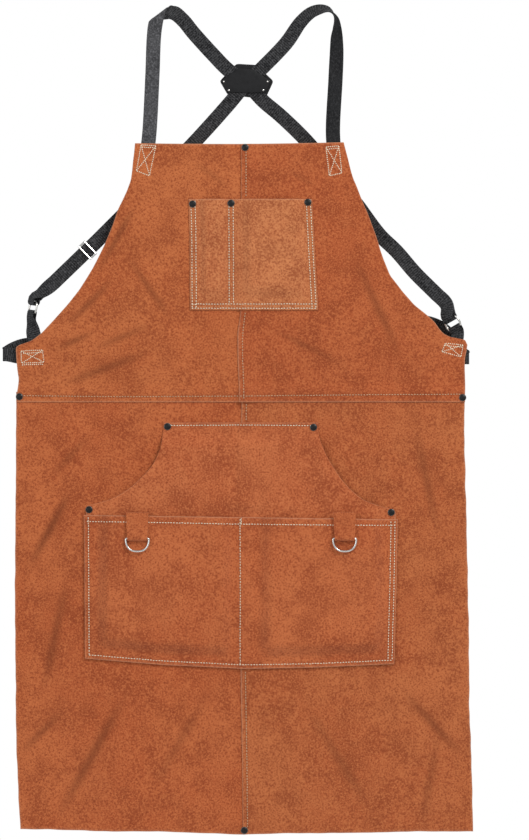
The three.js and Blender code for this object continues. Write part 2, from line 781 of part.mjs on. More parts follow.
addPart('shoulder_strap_right', shoulderStrap([
  knot(130, bibBack, bibTop - strapSewnLength, unitIn(0.99, -0.1)),
  knot(124, bibBack, bibTop - 12, unitIn(0.99, -0.1)),
  knot(121.8, 3.5, -165, unitIn(1, -0.02)),
  knot(125.2, 5.5, -95, unitIn(1, 0.03)),
  knot(126.8, 7.5, -58, vec(0.951, -0.309, -0.02)),
  knot(126.9, 9, -38, vec(0.819, -0.574, -0.01)),
  knot(127.2, 10.5, -26, vec(0.574, -0.819, 0)),
  knot(126.2, 12.5, -15.5, vec(0.332, -0.94, 0.086)),
  knot(121.5, 15.5, -6.3, vec(-0.027, -0.999, -0.023)),
  knot(112, 19.5, -0.8, vec(-0.225, -0.766, -0.579)),
  knot(103.2, 22, -0.6, vec(0.093, -0.629, -0.761)),
  knot(92.3, 24.5, -4.8, vec(0.433, -0.5, -0.736)),
  knot(79.1, 27.5, -16.9, vec(0.686, -0.342, -0.639)),
  knot(60.5, frontPass - 1.5, -43.5, unitIn(0.76, -0.65)),
  knot(30.5, frontPass, -75, unitIn(0.74, -0.67)),
  knot(patchMiddle.x, frontPass, patchMiddle.z - 1, unitIn(0.7, -0.72)),
  knot(-17, frontPass - 0.3, -126, unitIn(0.7, -0.71)),
  knot(-59, frontPass - 4, -173, unitIn(0.7, -0.71)),
  knot(-115, 24, -231, unitIn(0.7, -0.71)),
], waistSides.left), blackWebbing);

// ---- waist tabs ----

const cornerHeight = waist + 58; // where the waist webbing is sewn behind the bib's corners
const cornerTop = waist + 78; // the leather's edge above it

function waistTab(side) {
  const flatY = bibBack + strapPitch / 2;
  const across = vec(-side.sign, 0, 0);
  const leaf = (z) => ({ point: vec(side.tabFoot, flatY, z), across, spread: strapPitch / 2 });
  const free = vec(side.tabFoot, flatY, cornerTop);
  const nearBar = side.bar.clone().addScaledVector(side.pull, straightAtWire);
  const reach = free.distanceTo(nearBar);
  const bend = new THREE.CubicBezierCurve3(
    free, free.clone().add(vec(0, 0, reach / 3)), nearBar.clone().addScaledVector(side.pull, reach / 3), nearBar,
  );
  const stations = [leaf(cornerHeight - webbingWidth / 2), leaf(cornerHeight + webbingWidth / 2)];
  const steps = 8;
  for (let i = 0; i < steps; i += 1) {
    const share = i / steps;
    const along = bend.getTangent(share);
    const turned = across.clone().lerp(side.barAcross, smoothStep(share)).normalize();
    turned.addScaledVector(along, -turned.dot(along)).normalize();
    const away = reach * (1 - share) + straightAtWire;
    stations.push({ point: bend.getPoint(share), across: turned, spread: splay(away, tabTurnAtRing) });
  }
  for (const point of [nearBar, side.bar]) {
    stations.push({ point, across: side.barAcross, spread: tabTurnAtRing });
  }
  return strip(roundTheBar(stations, 1), webbingWidth, webbingThickness);
}

for (const [name, side] of Object.entries(waistSides)) {
  addPart(`waist_tab_${name}`, waistTab(side), blackWebbing);
}

// ---- waist belt and buckle ----

const buckle = vec(0, beltSetBack, -beltHeight);
const halfThick = buckleThickness / 2;
const halfHigh = buckleHeight / 2;
const barRadius = 1.3;
const barTurn = barRadius + layGap + webbingThickness / 2;
const slotLength = webbingThickness + 3 * layGap;
const socketLength = 28;
const socketDepth = 22;
const plugLength = 6;
const armInner = webbingWidth / 2 + 0.5;

// The eye that a belt loops through, on the end of a buckle half: two cheeks and a round bar.
function beltEye(x, sign) {
  const end = slotLength + 2 * barRadius;
  const near = Math.min(x - sign * 0.5, x + sign * end);
  const far = Math.max(x - sign * 0.5, x + sign * end);
  const bar = new THREE.CylinderGeometry(barRadius, barRadius, 2 * armInner + 1, 8);
  bar.rotateX(Math.PI / 2);
  bar.translate(x + sign * (slotLength + barRadius), 0, 0);
  return [
    block(vec(near, -2.4, armInner), vec(far, 2.4, halfHigh)),
    block(vec(near, -2.4, -halfHigh), vec(far, 2.4, -armInner)),
    bar,
  ];
}

const socketMouth = 2;
const socketEnd = socketMouth - socketLength;
const plugStart = socketMouth + 1;
const plugEnd = plugStart + plugLength;
const cavityHalf = halfHigh - buckleWall - 0.5;
const cavityThick = halfThick - buckleWall;
const windowLow = socketMouth - 18.5;
const windowHigh = socketMouth - 10.3;

function buckleSocket() {
  const body = block(vec(socketEnd, -halfThick, -halfHigh), vec(socketMouth, halfThick, halfHigh));
  const cavity = block(
    vec(socketMouth - socketDepth, -cavityThick, -cavityHalf), vec(socketMouth + 1, cavityThick, cavityHalf),
  );
  const windows = block(
    vec(windowLow, -cavityThick, -halfHigh - 1), vec(windowHigh, cavityThick, halfHigh + 1),
  );
  return cut(join([body, ...beltEye(socketEnd, -1)]), [cavity, windows]);
}

const armHalfThick = cavityThick - layGap;
const tongueHalf = 2.3;

function bucklePlug() {
  const base = block(vec(plugStart, -halfThick, -halfHigh), vec(plugEnd, halfThick, halfHigh));
  const tongue = block(vec(plugStart - 11, -armHalfThick, -tongueHalf), vec(plugStart + 1, armHalfThick, tongueHalf));
  return join([base, tongue, ...beltEye(plugEnd, 1)]);
}

// One springy arm with the barb that sits in the socket's window.
function latchArm(sign) {
  const root = plugStart - layGap - 0.1;
  const barb = windowHigh - 0.5;
  const outline = [
    [root, 5], [root, 7.4], [barb, cavityHalf - 1.1], [barb, halfHigh - 0.5], [barb - 2.2, halfHigh - 0.3],
    [barb - 7, cavityHalf - 1], [barb - 9, cavityHalf - 4], [barb - 9, 5],
  ];
  const shape = new THREE.Shape(outline.map(([x, z]) => new THREE.Vector2(x, sign * z)));
  const arm = new THREE.ExtrudeGeometry(shape, { depth: 2 * armHalfThick, bevelEnabled: false });
  arm.rotateX(Math.PI / 2);
  arm.translate(0, armHalfThick, 0);
  return arm;
}

const buckleParts = {
  buckle_socket: buckleSocket(),
  buckle_plug: bucklePlug(),
  buckle_latch_upper: latchArm(1),
  buckle_latch_lower: latchArm(-1),
};
for (const [name, geometry] of Object.entries(buckleParts)) {
  addPart(name, geometry, blackPlastic).position.copy(buckle);
}

// A belt comes from under the waist stitching, folds back at the leather's edge and runs behind the
// bib to the buckle, where its end loops round the bar.
function waistBelt(sign, foldOut, knots, barX) {
  const doubledLength = 22;
  const foldRadius = 3;
  const upright = vec(0, 0, -sign);
  const sewnY = bibBack + 2 * strapPitch;
  const foldX = sign * (skirtHalf + foldOut);
  const sewn = { point: vec(sign * (skirtHalf - 46), sewnY, cornerHeight), across: upright };
  const fold = [];
  const steps = 6;
  for (let i = 0; i < steps; i += 1) {
    const angle = (Math.PI * i) / steps;
    const out = vec(sign * foldRadius * Math.sin(angle), foldRadius * (1 - Math.cos(angle)), 0);
    fold.push({ point: vec(foldX, sewnY, cornerHeight).add(out), across: upright });
  }
  const bar = buckle.clone().add(vec(barX, 0, 0));
  const layer = (away, spread) => (
    { point: bar.clone().add(vec(sign * away, 0, 0)), across: upright, spread }
  );
  const looped = roundTheBar([
    layer(doubledLength, strapPitch / 2), layer(doubledLength / 3, strapPitch / 2),
    layer(straightAtWire, barTurn), layer(0, barTurn),
  ], sign);
  const run = smoothStations([
    { point: vec(foldX, sewnY + 2 * foldRadius, cornerHeight), across: upright }, ...knots, looped[0],
  ], 36);
  return strip([sewn, ...fold, ...run.slice(0, -1), ...looped], webbingWidth, webbingThickness);
}

addPart('waist_belt_left', waistBelt(-1, 12.5, [
  knot(-270, 11.8, -460, vec(0, 0, 1)),
  knot(-180, beltSetBack, -452, vec(0, 0, 1)),
  knot(-90, beltSetBack, -443, vec(0, 0, 1)),
], socketEnd - slotLength - barRadius), blackWebbing);
addPart('waist_belt_right', waistBelt(1, -1, [
  knot(293, 17, -454, unitIn(0.25, -0.97)),
  knot(281, 24, -438, unitIn(0.5, -0.86)),
  knot(264, 26.5, -423, unitIn(0.4, -0.92)),
  knot(240, 26, -415.5, unitIn(0.1, -1)),
  knot(190, 20, -417, unitIn(-0.06, -1)),
  knot(100, 13, -432, unitIn(-0.1, -1)),
], plugEnd + slotLength + barRadius), blackWebbing);

export default group;
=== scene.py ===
import math

import bpy
import numpy as np
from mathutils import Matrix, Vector, noise


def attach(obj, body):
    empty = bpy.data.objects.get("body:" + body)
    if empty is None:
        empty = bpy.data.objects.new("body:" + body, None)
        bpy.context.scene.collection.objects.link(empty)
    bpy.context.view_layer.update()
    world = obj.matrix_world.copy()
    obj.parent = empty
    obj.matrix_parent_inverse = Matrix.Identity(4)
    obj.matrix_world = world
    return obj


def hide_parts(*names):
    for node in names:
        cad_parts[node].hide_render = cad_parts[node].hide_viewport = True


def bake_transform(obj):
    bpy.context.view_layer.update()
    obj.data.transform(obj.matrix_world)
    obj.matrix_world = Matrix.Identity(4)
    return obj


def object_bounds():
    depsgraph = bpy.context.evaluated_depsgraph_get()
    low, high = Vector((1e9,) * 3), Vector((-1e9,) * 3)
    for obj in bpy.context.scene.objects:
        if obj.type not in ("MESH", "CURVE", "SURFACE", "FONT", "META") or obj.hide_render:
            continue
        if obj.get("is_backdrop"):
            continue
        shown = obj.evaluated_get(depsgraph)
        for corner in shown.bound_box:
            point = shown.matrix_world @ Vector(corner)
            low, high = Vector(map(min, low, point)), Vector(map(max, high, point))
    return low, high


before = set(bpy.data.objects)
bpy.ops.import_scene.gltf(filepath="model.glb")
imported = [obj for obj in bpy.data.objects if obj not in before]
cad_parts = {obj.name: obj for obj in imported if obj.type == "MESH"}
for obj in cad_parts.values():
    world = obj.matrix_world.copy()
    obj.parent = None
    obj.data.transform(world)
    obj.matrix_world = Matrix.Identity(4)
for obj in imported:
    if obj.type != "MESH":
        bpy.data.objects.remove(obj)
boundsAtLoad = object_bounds()

scene = bpy.context.scene
mm = 0.001

# shared sizes, in millimetres like every shape below
layers = {"leather": 1.6, "gap": 0.3, "webbing": 1.4, "webWidth": 19.0}
pitch = layers["leather"] + layers["gap"]
webPitch = layers["webbing"] + layers["gap"]
levels = {"bibTop": -179.5, "waist": -520.5, "hem": -1090.5, "lapFlat": 14.0, "lapRamp": 8.0}


def clip01(value):
    return np.clip(value, 0.0, 1.0)


def ease(value):
    v = clip01(value)
    return v * v * (3 - 2 * v)


def along(table, z):
    # x of an edge at height z, from (x, z) points listed from the top down
    xs = np.array([p[0] for p in table])[::-1]
    zs = np.array([p[1] for p in table])[::-1]
    return np.interp(z, zs, xs)


def unit(x, y, z):
    v = np.array([x, y, z], float)
    return v / np.linalg.norm(v)


class Shader:
    # one material's node tree, with short ways to add the nodes used here
    def __init__(self, name):
        self.mat = bpy.data.materials.new(name)
        self.mat.use_nodes = True
        self.nodes = self.mat.node_tree.nodes
        self.links = self.mat.node_tree.links
        self.bsdf = self.nodes["Principled BSDF"]

    def place(self):
        return self.nodes.new("ShaderNodeTexCoord").outputs["Object"]

    def noise(self, coords, scale, detail, roughness=0.55, stretch=None):
        if stretch:
            mapping = self.nodes.new("ShaderNodeMapping")
            mapping.inputs["Scale"].default_value = stretch
            self.links.new(coords, mapping.inputs["Vector"])
            coords = mapping.outputs["Vector"]
        node = self.nodes.new("ShaderNodeTexNoise")
        node.inputs["Scale"].default_value = scale
        node.inputs["Detail"].default_value = detail
        node.inputs["Roughness"].default_value = roughness
        self.links.new(coords, node.inputs["Vector"])
        return node.outputs["Fac"]

    def ramp(self, source, low, high):
        node = self.nodes.new("ShaderNodeMapRange")
        node.inputs["From Min"].default_value = low[0]
        node.inputs["From Max"].default_value = high[0]
        node.inputs["To Min"].default_value = low[1]
        node.inputs["To Max"].default_value = high[1]
        self.links.new(source, node.inputs["Value"])
        return node.outputs["Result"]

    def math(self, kind, a, b=None):
        node = self.nodes.new("ShaderNodeMath")
        node.operation = kind
        for socket, value in ((node.inputs[0], a), (node.inputs[1], b)):
            if value is None:
                continue
            if isinstance(value, (int, float)):
                socket.default_value = value
            else:
                self.links.new(value, socket)
        return node.outputs[0]

    def mix(self, factor, a, b):
        node = self.nodes.new("ShaderNodeMix")
        node.data_type = "RGBA"
        for name, value in (("Factor", factor), ("A", a), ("B", b)):
            if hasattr(value, "is_linked"):
                self.links.new(value, node.inputs[name])
            else:
                node.inputs[name].default_value = (*value, 1)
        return node.outputs["Result"]

    def bump(self, height, strength, distance, normal=None):
        node = self.nodes.new("ShaderNodeBump")
        node.inputs["Strength"].default_value = strength
        node.inputs["Distance"].default_value = distance
        self.links.new(height, node.inputs["Height"])
        if normal is not None:
            self.links.new(normal, node.inputs["Normal"])
        return node.outputs["Normal"]

    def attribute(self, name):
        node = self.nodes.new("ShaderNodeAttribute")
        node.attribute_name = name
        return node.outputs["Fac"]

    def feed(self, source, socket):
        self.links.new(source, self.bsdf.inputs[socket])

    def set(self, **values):
        for name, value in values.items():
            self.bsdf.inputs[name.replace("_", " ")].default_value = value


def toned(colour, share):
    return tuple(c * share for c in colour)


def suedeMaterial(name, colour, shift):
    # napped split leather: mottled at three scales, fine fibre, with painted shade darker in creases and
    # beside seams
    sh = Shader(name)
    where = sh.place()
    move = sh.nodes.new("ShaderNodeMapping")
    move.inputs["Location"].default_value = shift
    sh.links.new(where, move.inputs["Vector"])
    at = move.outputs["Vector"]
    broad = sh.noise(at, 6.5, 4, 0.6)
    patchy = sh.noise(at, 24, 6, 0.62)
    streak = sh.noise(at, 60, 5, 0.65, (1.0, 1.0, 0.4))
    grain = sh.noise(at, 430, 2, 0.6)
    speck = sh.noise(at, 1150, 2, 0.6)
    dark = (colour[0] * 0.60, colour[1] * 0.48, colour[2] * 0.44)
    light = (min(1, colour[0] * 1.28), min(1, colour[1] * 1.62), min(1, colour[2] * 1.75))
    tone = sh.mix(sh.ramp(broad, (0.42, 0.0), (0.60, 0.60)), colour, light)
    tone = sh.mix(sh.ramp(patchy, (0.40, 0.62), (0.54, 0.0)), tone, dark)
    tone = sh.mix(sh.ramp(streak, (0.52, 0.0), (0.70, 0.45)), tone, light)
    tone = sh.mix(sh.ramp(grain, (0.33, 0.85), (0.50, 0.0)), tone, dark)
    tone = sh.mix(sh.ramp(grain, (0.50, 0.0), (0.66, 0.85)), tone, light)
    tone = sh.mix(sh.ramp(speck, (0.52, 0.0), (0.72, 0.4)), tone, light)
    # painted shade: darker in the creases and beside the seams, from a per-point attribute
    tone = sh.mix(sh.attribute("painted_shade"), tone, toned(colour, 0.42))
    tone = sh.mix(sh.attribute("edge"), tone, (0.62, 0.33, 0.20))
    sh.feed(tone, "Base Color")
    sh.set(Roughness=0.94, Specular_IOR_Level=0.18, Sheen_Weight=0.22, Sheen_Roughness=0.55)
    sh.set(Sheen_Tint=(1.0, 0.78, 0.6, 1))
    rough = sh.bump(grain, 0.6, 0.0009)
    fine = sh.bump(speck, 0.5, 0.0004, rough)
    ridged = sh.bump(streak, 0.4, 0.0018, fine)
    waves = sh.noise(at, 8.5, 2, 0.45, (1.5, 1.0, 0.8))
    sh.feed(sh.bump(waves, 0.75, 0.012, ridged), "Normal")
    return sh.mat


def plainMaterial(name, colour, roughness, metallic=0.0, bumpScale=None, bumpDepth=0.0002,
                  wear=0.0, shine=0.5):
    # one colour that is a little uneven in tone and gloss
    sh = Shader(name)
    where = sh.place()
    sh.set(Metallic=metallic, Specular_IOR_Level=shine)
    uneven = sh.noise(where, 140, 4)
    sh.feed(sh.ramp(uneven, (0.3, roughness * 0.8), (0.7, min(1, roughness * 1.2))), "Roughness")
    tone = sh.mix(sh.ramp(uneven, (0.4, 0.0), (0.75, 1.0)), colour, toned(colour, 1 - wear))
    sh.feed(tone, "Base Color")
    if bumpScale:
        sh.feed(sh.bump(sh.noise(where, bumpScale, 4), 0.5, bumpDepth), "Normal")
    return sh.mat


def webbingMaterial(name, colour, between, rib, depth, stagger=0.5):
    # woven tape: crosswise ribs broken into columns, which stand staggered on the plain side, with painted
    # shade between the threads and painted highlight on the crests
    sh = Shader(name)
    columnWidth = 1.55
    uv = sh.nodes.new("ShaderNodeUVMap")
    uv.uv_map = "tape"
    split = sh.nodes.new("ShaderNodeSeparateXYZ")
    sh.links.new(uv.outputs["UV"], split.inputs["Vector"])
    length, across = split.outputs["X"], split.outputs["Y"]
    column = sh.math("DIVIDE", across, columnWidth)
    odd = sh.math("MODULO", sh.math("FLOOR", column), 2.0)
    offset = sh.math("MULTIPLY", odd, stagger)
    weft = sh.math("ADD", sh.math("DIVIDE", length, rib), offset)
    ribs = sh.math("ABSOLUTE", sh.math("SINE", sh.math("MULTIPLY", weft, math.pi)))
    warp = sh.math("ABSOLUTE", sh.math("SINE", sh.math("MULTIPLY", column, math.pi)))
    weave = sh.math("MULTIPLY", ribs, sh.math("POWER", warp, 0.5 * stagger + 0.1))
    where = sh.place()
    fuzz = sh.noise(where, 900, 3, 0.7)
    fleck = sh.noise(where, 460, 2, 0.6)
    dusty = sh.noise(where, 45, 4)
    # painted shade in the gaps between threads, painted highlight on the rib crests
    tone = sh.mix(sh.ramp(weave, (0.25, 1.0), (0.8, 0.0)), colour, between)
    tone = sh.mix(sh.ramp(fleck, (0.36, 0.9), (0.5, 0.0)), tone, between)
    tone = sh.mix(sh.ramp(fleck, (0.52, 0.0), (0.66, 0.7)), tone, toned(colour, 1.9))
    tone = sh.mix(sh.ramp(dusty, (0.4, 0.0), (0.75, 0.3)), tone, toned(colour, 1.6))
    sh.feed(tone, "Base Color")
    sh.set(Roughness=0.72, Specular_IOR_Level=0.14, Sheen_Weight=0.05)
    woven = sh.bump(weave, 0.8, depth)
    sh.feed(sh.bump(fuzz, 0.3, 0.0002, woven), "Normal")
    return sh.mat


# each cut piece has its own shade of suede, as it comes from its own part of the hide
suedes = {
    "bibLeft": suedeMaterial("suede_bib_left", (0.431, 0.100, 0.030), (0, 0, 0)),
    "bibRight": suedeMaterial("suede_bib_right", (0.414, 0.092, 0.028), (3, 1, 0)),
    "skirtLeft": suedeMaterial("suede_skirt_left", (0.432, 0.096, 0.029), (7, 4, 2)),
    "skirtRight": suedeMaterial("suede_skirt_right", (0.420, 0.100, 0.031), (1, 8, 5)),
    "chest": suedeMaterial("suede_chest", (0.482, 0.140, 0.050), (9, 2, 4)),
    "hand": suedeMaterial("suede_hand", (0.455, 0.107, 0.035), (5, 5, 9)),
    "tool": suedeMaterial("suede_tool", (0.439, 0.099, 0.031), (2, 6, 7)),
    "tab": suedeMaterial("suede_tab", (0.425, 0.096, 0.030), (6, 3, 8)),
}
flesh = suedeMaterial("flesh_side", (0.46, 0.17, 0.075), (4, 9, 1))
cutEdge = plainMaterial("cut_edge", (0.66, 0.40, 0.27), 0.9, bumpScale=700, bumpDepth=0.0004, wear=0.45)
thread = plainMaterial("thread", (0.90, 0.77, 0.58), 0.7, bumpScale=1500, wear=0.25)
wornThread = plainMaterial("thread_worn", (0.66, 0.40, 0.24), 0.8, bumpScale=1500, wear=0.35)
# the first tape colour is the plain webbing face painted about four times lighter, painted light on the left
# strap's front; webbing_face below is that face without it
webPaintedLit = webbingMaterial("webbing_face_painted_lit", (0.088, 0.087, 0.092), (0.034, 0.034, 0.036), 1.7, 0.0003)
webPlain = webbingMaterial("webbing_face", (0.021, 0.021, 0.022), (0.007, 0.007, 0.008), 2.0, 0.0003)
webDark = webbingMaterial("webbing_ribbed", (0.046, 0.046, 0.048), (0.004, 0.004, 0.005), 2.9, 0.0007, 0.0)
nickel = plainMaterial("nickel", (0.80, 0.78, 0.74), 0.2, 1.0, 300, 0.00005, 0.12)
blackened = plainMaterial("blackened_steel", (0.010, 0.009, 0.009), 0.45, 0.1, 400, 0.00008, 0.3, 0.3)
# a lighter metal for the rim ring of the rivet caps, painted as the rim's highlight on the black cap
rimHighlightMetal = plainMaterial("rim_painted_highlight", (0.20, 0.19, 0.18), 0.35, 1.0, 400, 0.00006, 0.4)
blackLeather = plainMaterial("black_leather", (0.012, 0.012, 0.013), 0.55, 0.0, 420, 0.00035, 0.35, 0.22)
blackLeatherEdge = plainMaterial("black_leather_edge", (0.03, 0.029, 0.028), 0.8, 0.0, 700, 0.0003, 0.3)
plastic = plainMaterial("buckle_plastic", (0.022, 0.022, 0.023), 0.42, 0.0, 900, 0.00008, 0.2)
print("materials made")


def meshObject(name, points, faces, mats, indices=None, sharp=50):
    mesh = bpy.data.meshes.new(name)
    mesh.from_pydata([tuple(p) for p in np.asarray(points) * mm], [], faces)
    for mat in mats:
        mesh.materials.append(mat)
    if indices is not None:
        mesh.polygons.foreach_set("material_index", indices)
    mesh.polygons.foreach_set("use_smooth", [True] * len(mesh.polygons))
    mesh.set_sharp_from_angle(angle=math.radians(sharp))
    mesh.update()
    obj = bpy.data.objects.new(name, mesh)
    scene.collection.objects.link(obj)
    return obj


def addAttribute(obj, name, values):
    attribute = obj.data.attributes.new(name, "FLOAT", "POINT")
    attribute.data.foreach_set("value", np.asarray(values, np.float32))


# places where hardware is fixed to the leather, so that it hangs flat there: x, z, radius
pins = [
    (-126, -203, 34), (126, -203, 34), (-284, -458, 46), (288, -452, 46), (-137, -688, 30), (137, -688, 30),
]
# broad folds: depth, waves per metre in x and in z, phase
folds = [
    (0.55, 5.3, 1.7, 0.4), (0.45, 8.1, -2.6, 2.1), (0.35, 11.6, 3.9, 4.4),
    (0.3, 3.1, 6.8, 1.3), (0.22, 16.0, -7.5, 5.2),
]
# soft creases: two ends in x and z, depth, width
creases = [
    ((-286, -470), (-196, -430), 1.1, 9), ((-240, -500), (-120, -455), 0.8, 11),
    ((150, -330), (215, -470), 0.7, 12), ((-150, -330), (-95, -410), 0.7, 10),
    ((40, -425), (130, -470), 0.55, 9), ((-280, -740), (-226, -640), 1.1, 11),
    ((-262, -905), (-231, -760), 0.8, 13), ((-244, -1075), (-150, -905), 0.9, 14),
    ((-120, -1040), (-40, -900), 0.5, 12), ((-290, -985), (-235, -930), 0.8, 10),
    ((232, -560), (262, -700), 0.6, 12), ((215, -905), (292, -990), 0.7, 12),
    ((90, -930), (170, -1060), 0.55, 14), ((240, -1080), (262, -960), 0.5, 12),
    ((-200, -565), (-250, -620), 0.6, 10), ((-60, -205), (-20, -235), 0.4, 9),
    ((62, -215), (100, -236), 0.4, 8), ((-230, -420), (-170, -360), 0.75, 10),
    ((-190, -350), (-140, -262), 0.8, 9), ((-196, -452), (-120, -420), 0.6, 10),
]


def segmentDistance(x, z, a, b):
    dx, dz = b[0] - a[0], b[1] - a[1]
    t = clip01(((x - a[0]) * dx + (z - a[1]) * dz) / (dx * dx + dz * dz))
    return np.hypot(x - a[0] - t * dx, z - a[1] - t * dz), t


def pinned(x, z):
    free = np.ones_like(x)
    for px, pz, radius in pins:
        free = free * ease((np.hypot(x - px, z - pz) - radius * 0.7) / (radius * 0.9))
    return free


def drape(x, z):
    # how far the hanging leather stands off its flat shape, towards the back
    tall = 900.0
    down = clip01((levels["bibTop"] - z) / tall)
    depth = np.zeros_like(x)
    for size, kx, kz, phase in folds:
        depth = depth + size * np.sin(2 * math.pi * (kx * x + kz * z) / 1000.0 + phase)
    depth = depth * (0.35 + 1.5 * down)
    for a, b, size, width in creases:
        distance, t = segmentDistance(x, z, a, b)
        depth = depth + size * np.exp(-(distance / width) ** 2) * np.sin(math.pi * clip01(t * 0.9 + 0.05))
    return depth * pinned(x, z)


# painted shade along each crease, weaker near the pins
def creaseShade(x, z):
    shade = np.zeros_like(x)
    for a, b, size, width in creases:
        distance, t = segmentDistance(x, z, a, b)
        near = np.exp(-(distance / (width * 0.45)) ** 2) * np.sin(math.pi * clip01(t * 0.96 + 0.02))
        shade = np.maximum(shade, near * size * 0.8)
    return shade * pinned(x, z)


def lap(x):
    return ease((levels["lapFlat"] + levels["lapRamp"] - x) / levels["lapRamp"])


def lapBoth(x):
    return np.minimum(lap(x), ease((x + levels["lapRamp"]) / (levels["lapRamp"] - layers["gap"])))


def waistLap(z):
    return ease((levels["waist"] + levels["lapFlat"] + levels["lapRamp"] - z) / levels["lapRamp"])


def rise(distance, length):
    return ease(distance / length)


bib = {
    "left": [
        (-140.4, -178.9), (-145.8, -227.9), (-151.5, -243), (-156.7, -254.4), (-162.2, -265.0),
        (-169.9, -287.5), (-180.9, -314.0), (-196.1, -344.5), (-213.9, -373.0), (-231.5, -394.8),
        (-249.1, -414.7), (-264.3, -430.6), (-272.5, -437.0), (-279.6, -441.6), (-287.5, -444.4),
        (-293.4, -446.3), (-297.4, -448.8), (-298.3, -452.0), (-297.3, -469.1), (-294.6, -491.6),
        (-297.3, -514.1), (-298.1, -523),
    ],
    "right": [
        (135.2, -176.2), (149.1, -227.9), (159.0, -250.4), (170.9, -280.2), (182.1, -312.0),
        (189.6, -335.0), (198.0, -355.1), (213.9, -375.6), (229.8, -393.5), (245.7, -406.4),
        (256.4, -416.1), (261.8, -424.0), (267.3, -430.6), (272.6, -434.2), (279.3, -436.6),
        (291.0, -438.2), (297.2, -440.2), (300.0, -446.5), (296.6, -463.8), (296.8, -478.3),
        (296.8, -523),
    ],
    "topMiddle": -179.2, "topDip": 0.91, "topRise": 1.4, "topBend": 40,
}
skirt = {
    "left": [
        (-297.8, -500), (-298.4, -620), (-299.6, -760), (-299.2, -846.7), (-297.9, -971.2),
        (-294.7, -1052.0), (-291.6, -1100),
    ],
    "right": [
        (296.6, -500), (295.8, -560), (299.2, -700), (302.1, -837.4), (302.6, -926.2),
        (306.0, -1016.3), (307.6, -1100),
    ],
    "hem": [
        (-292, -1087.8), (-235, -1089.0), (-185.5, -1091.0), (-110, -1091.2), (-51.7, -1093.1),
        (2.6, -1095.4), (60, -1093.4), (149.7, -1093.1), (230, -1091.2), (307.6, -1091.0),
    ],
    "rows": 140, "underBib": 12,
}
lapEdge = [
    (0.3, -176), (0.2, -300), (-0.6, -402), (-4.6, -432), (-4.2, -470), (-2.6, -505), (-2.6, -523),
]
skirtLapEdge = [(0.9, -500), (0.6, -560), (-0.7, -784), (-0.4, -880), (1.6, -1000), (2.6, -1100)]


def wobble(x, z, size, seed=0.0):
    # a hand-cut edge is never quite straight
    often = 0.045
    values = []
    for a, b in zip(np.ravel(x), np.ravel(z)):
        values.append(size * noise.noise(Vector((a * often + seed, b * often, seed))))
    return np.reshape(values, np.shape(x))


def rowsBetween(zs, leftEdge, rightEdge, fixed, step):
    # points in rows; fixed columns keep their x, and the span outside them is divided evenly
    low, high = min(fixed), max(fixed)
    rows = [(float(leftEdge(z)), float(rightEdge(z))) for z in zs]
    leftCount = max(0, int(round((low - min(r[0] for r in rows)) / step)))
    rightCount = max(0, int(round((max(r[1] for r in rows) - high) / step)))
    xs = []
    for xl, xr in rows:
        left = [xl + (low - xl) * i / leftCount for i in range(leftCount)]
        right = [high + (xr - high) * (i + 1) / rightCount for i in range(rightCount)]
        xs.append(left + list(fixed) + right)
    xs = np.array(xs)
    return xs, np.repeat(np.array(zs)[:, None], xs.shape[1], axis=1)


def spaced(start, end, step):
    count = max(1, int(round(abs(end - start) / step)))
    return list(np.linspace(start, end, count + 1))


def denser(values, around, spread=(0.0, 0.8, 1.6, 2.6, 4.0)):
    # extra rows or columns beside a seam, so that it can press into the leather
    closest = 0.45
    extra = [a + s * d for a in around for d in spread for s in (-1, 1)]
    low, high = min(values), max(values)
    merged = sorted(set(list(values) + [e for e in extra if low < e < high]))
    kept = [merged[0]]
    for v in merged[1:]:
        if v - kept[-1] > closest:
            kept.append(v)
    kept[-1] = merged[-1]
    return kept


seams = []  # points of every line that presses into the leather
stitchLines = []  # piece, points in x and z, depth of the leather there, stitch length
cut = {
    "rolled": (0.16, 0.42), "rollDepth": 0.42, "backRoll": 0.2, "press": 0.32, "pressWidth": 1.5, "reach": 6,
}


def groove(x, z):
    # how much the seams press into the leather at a place, from 0 to 1
    reach = cut["reach"]
    depth = np.zeros_like(x)
    for line in seams:
        for a, b in zip(line[:-1], line[1:]):
            near = (x > min(a[0], b[0]) - reach) & (x < max(a[0], b[0]) + reach)
            near &= (z > min(a[1], b[1]) - reach) & (z < max(a[1], b[1]) + reach)
            if not near.any():
                continue
            distance, t = segmentDistance(x[near], z[near], a, b)
            depth[near] = np.maximum(depth[near], np.exp(-(distance / cut["pressWidth"]) ** 2))
    return depth


def nearEdges(grid):
    # two more lines of points just inside each edge, where the cut rolls over
    near, far = cut["rolled"]
    for turned in range(2):
        first, last = grid[:, 0], grid[:, -1]
        inward, outward = grid[:, 1] - first, grid[:, -2] - last
        grid = np.column_stack([
            first, first + inward * near, first + inward * far, grid[:, 1:-1],
            last + outward * far, last + outward * near, last,
        ]).T
    return grid


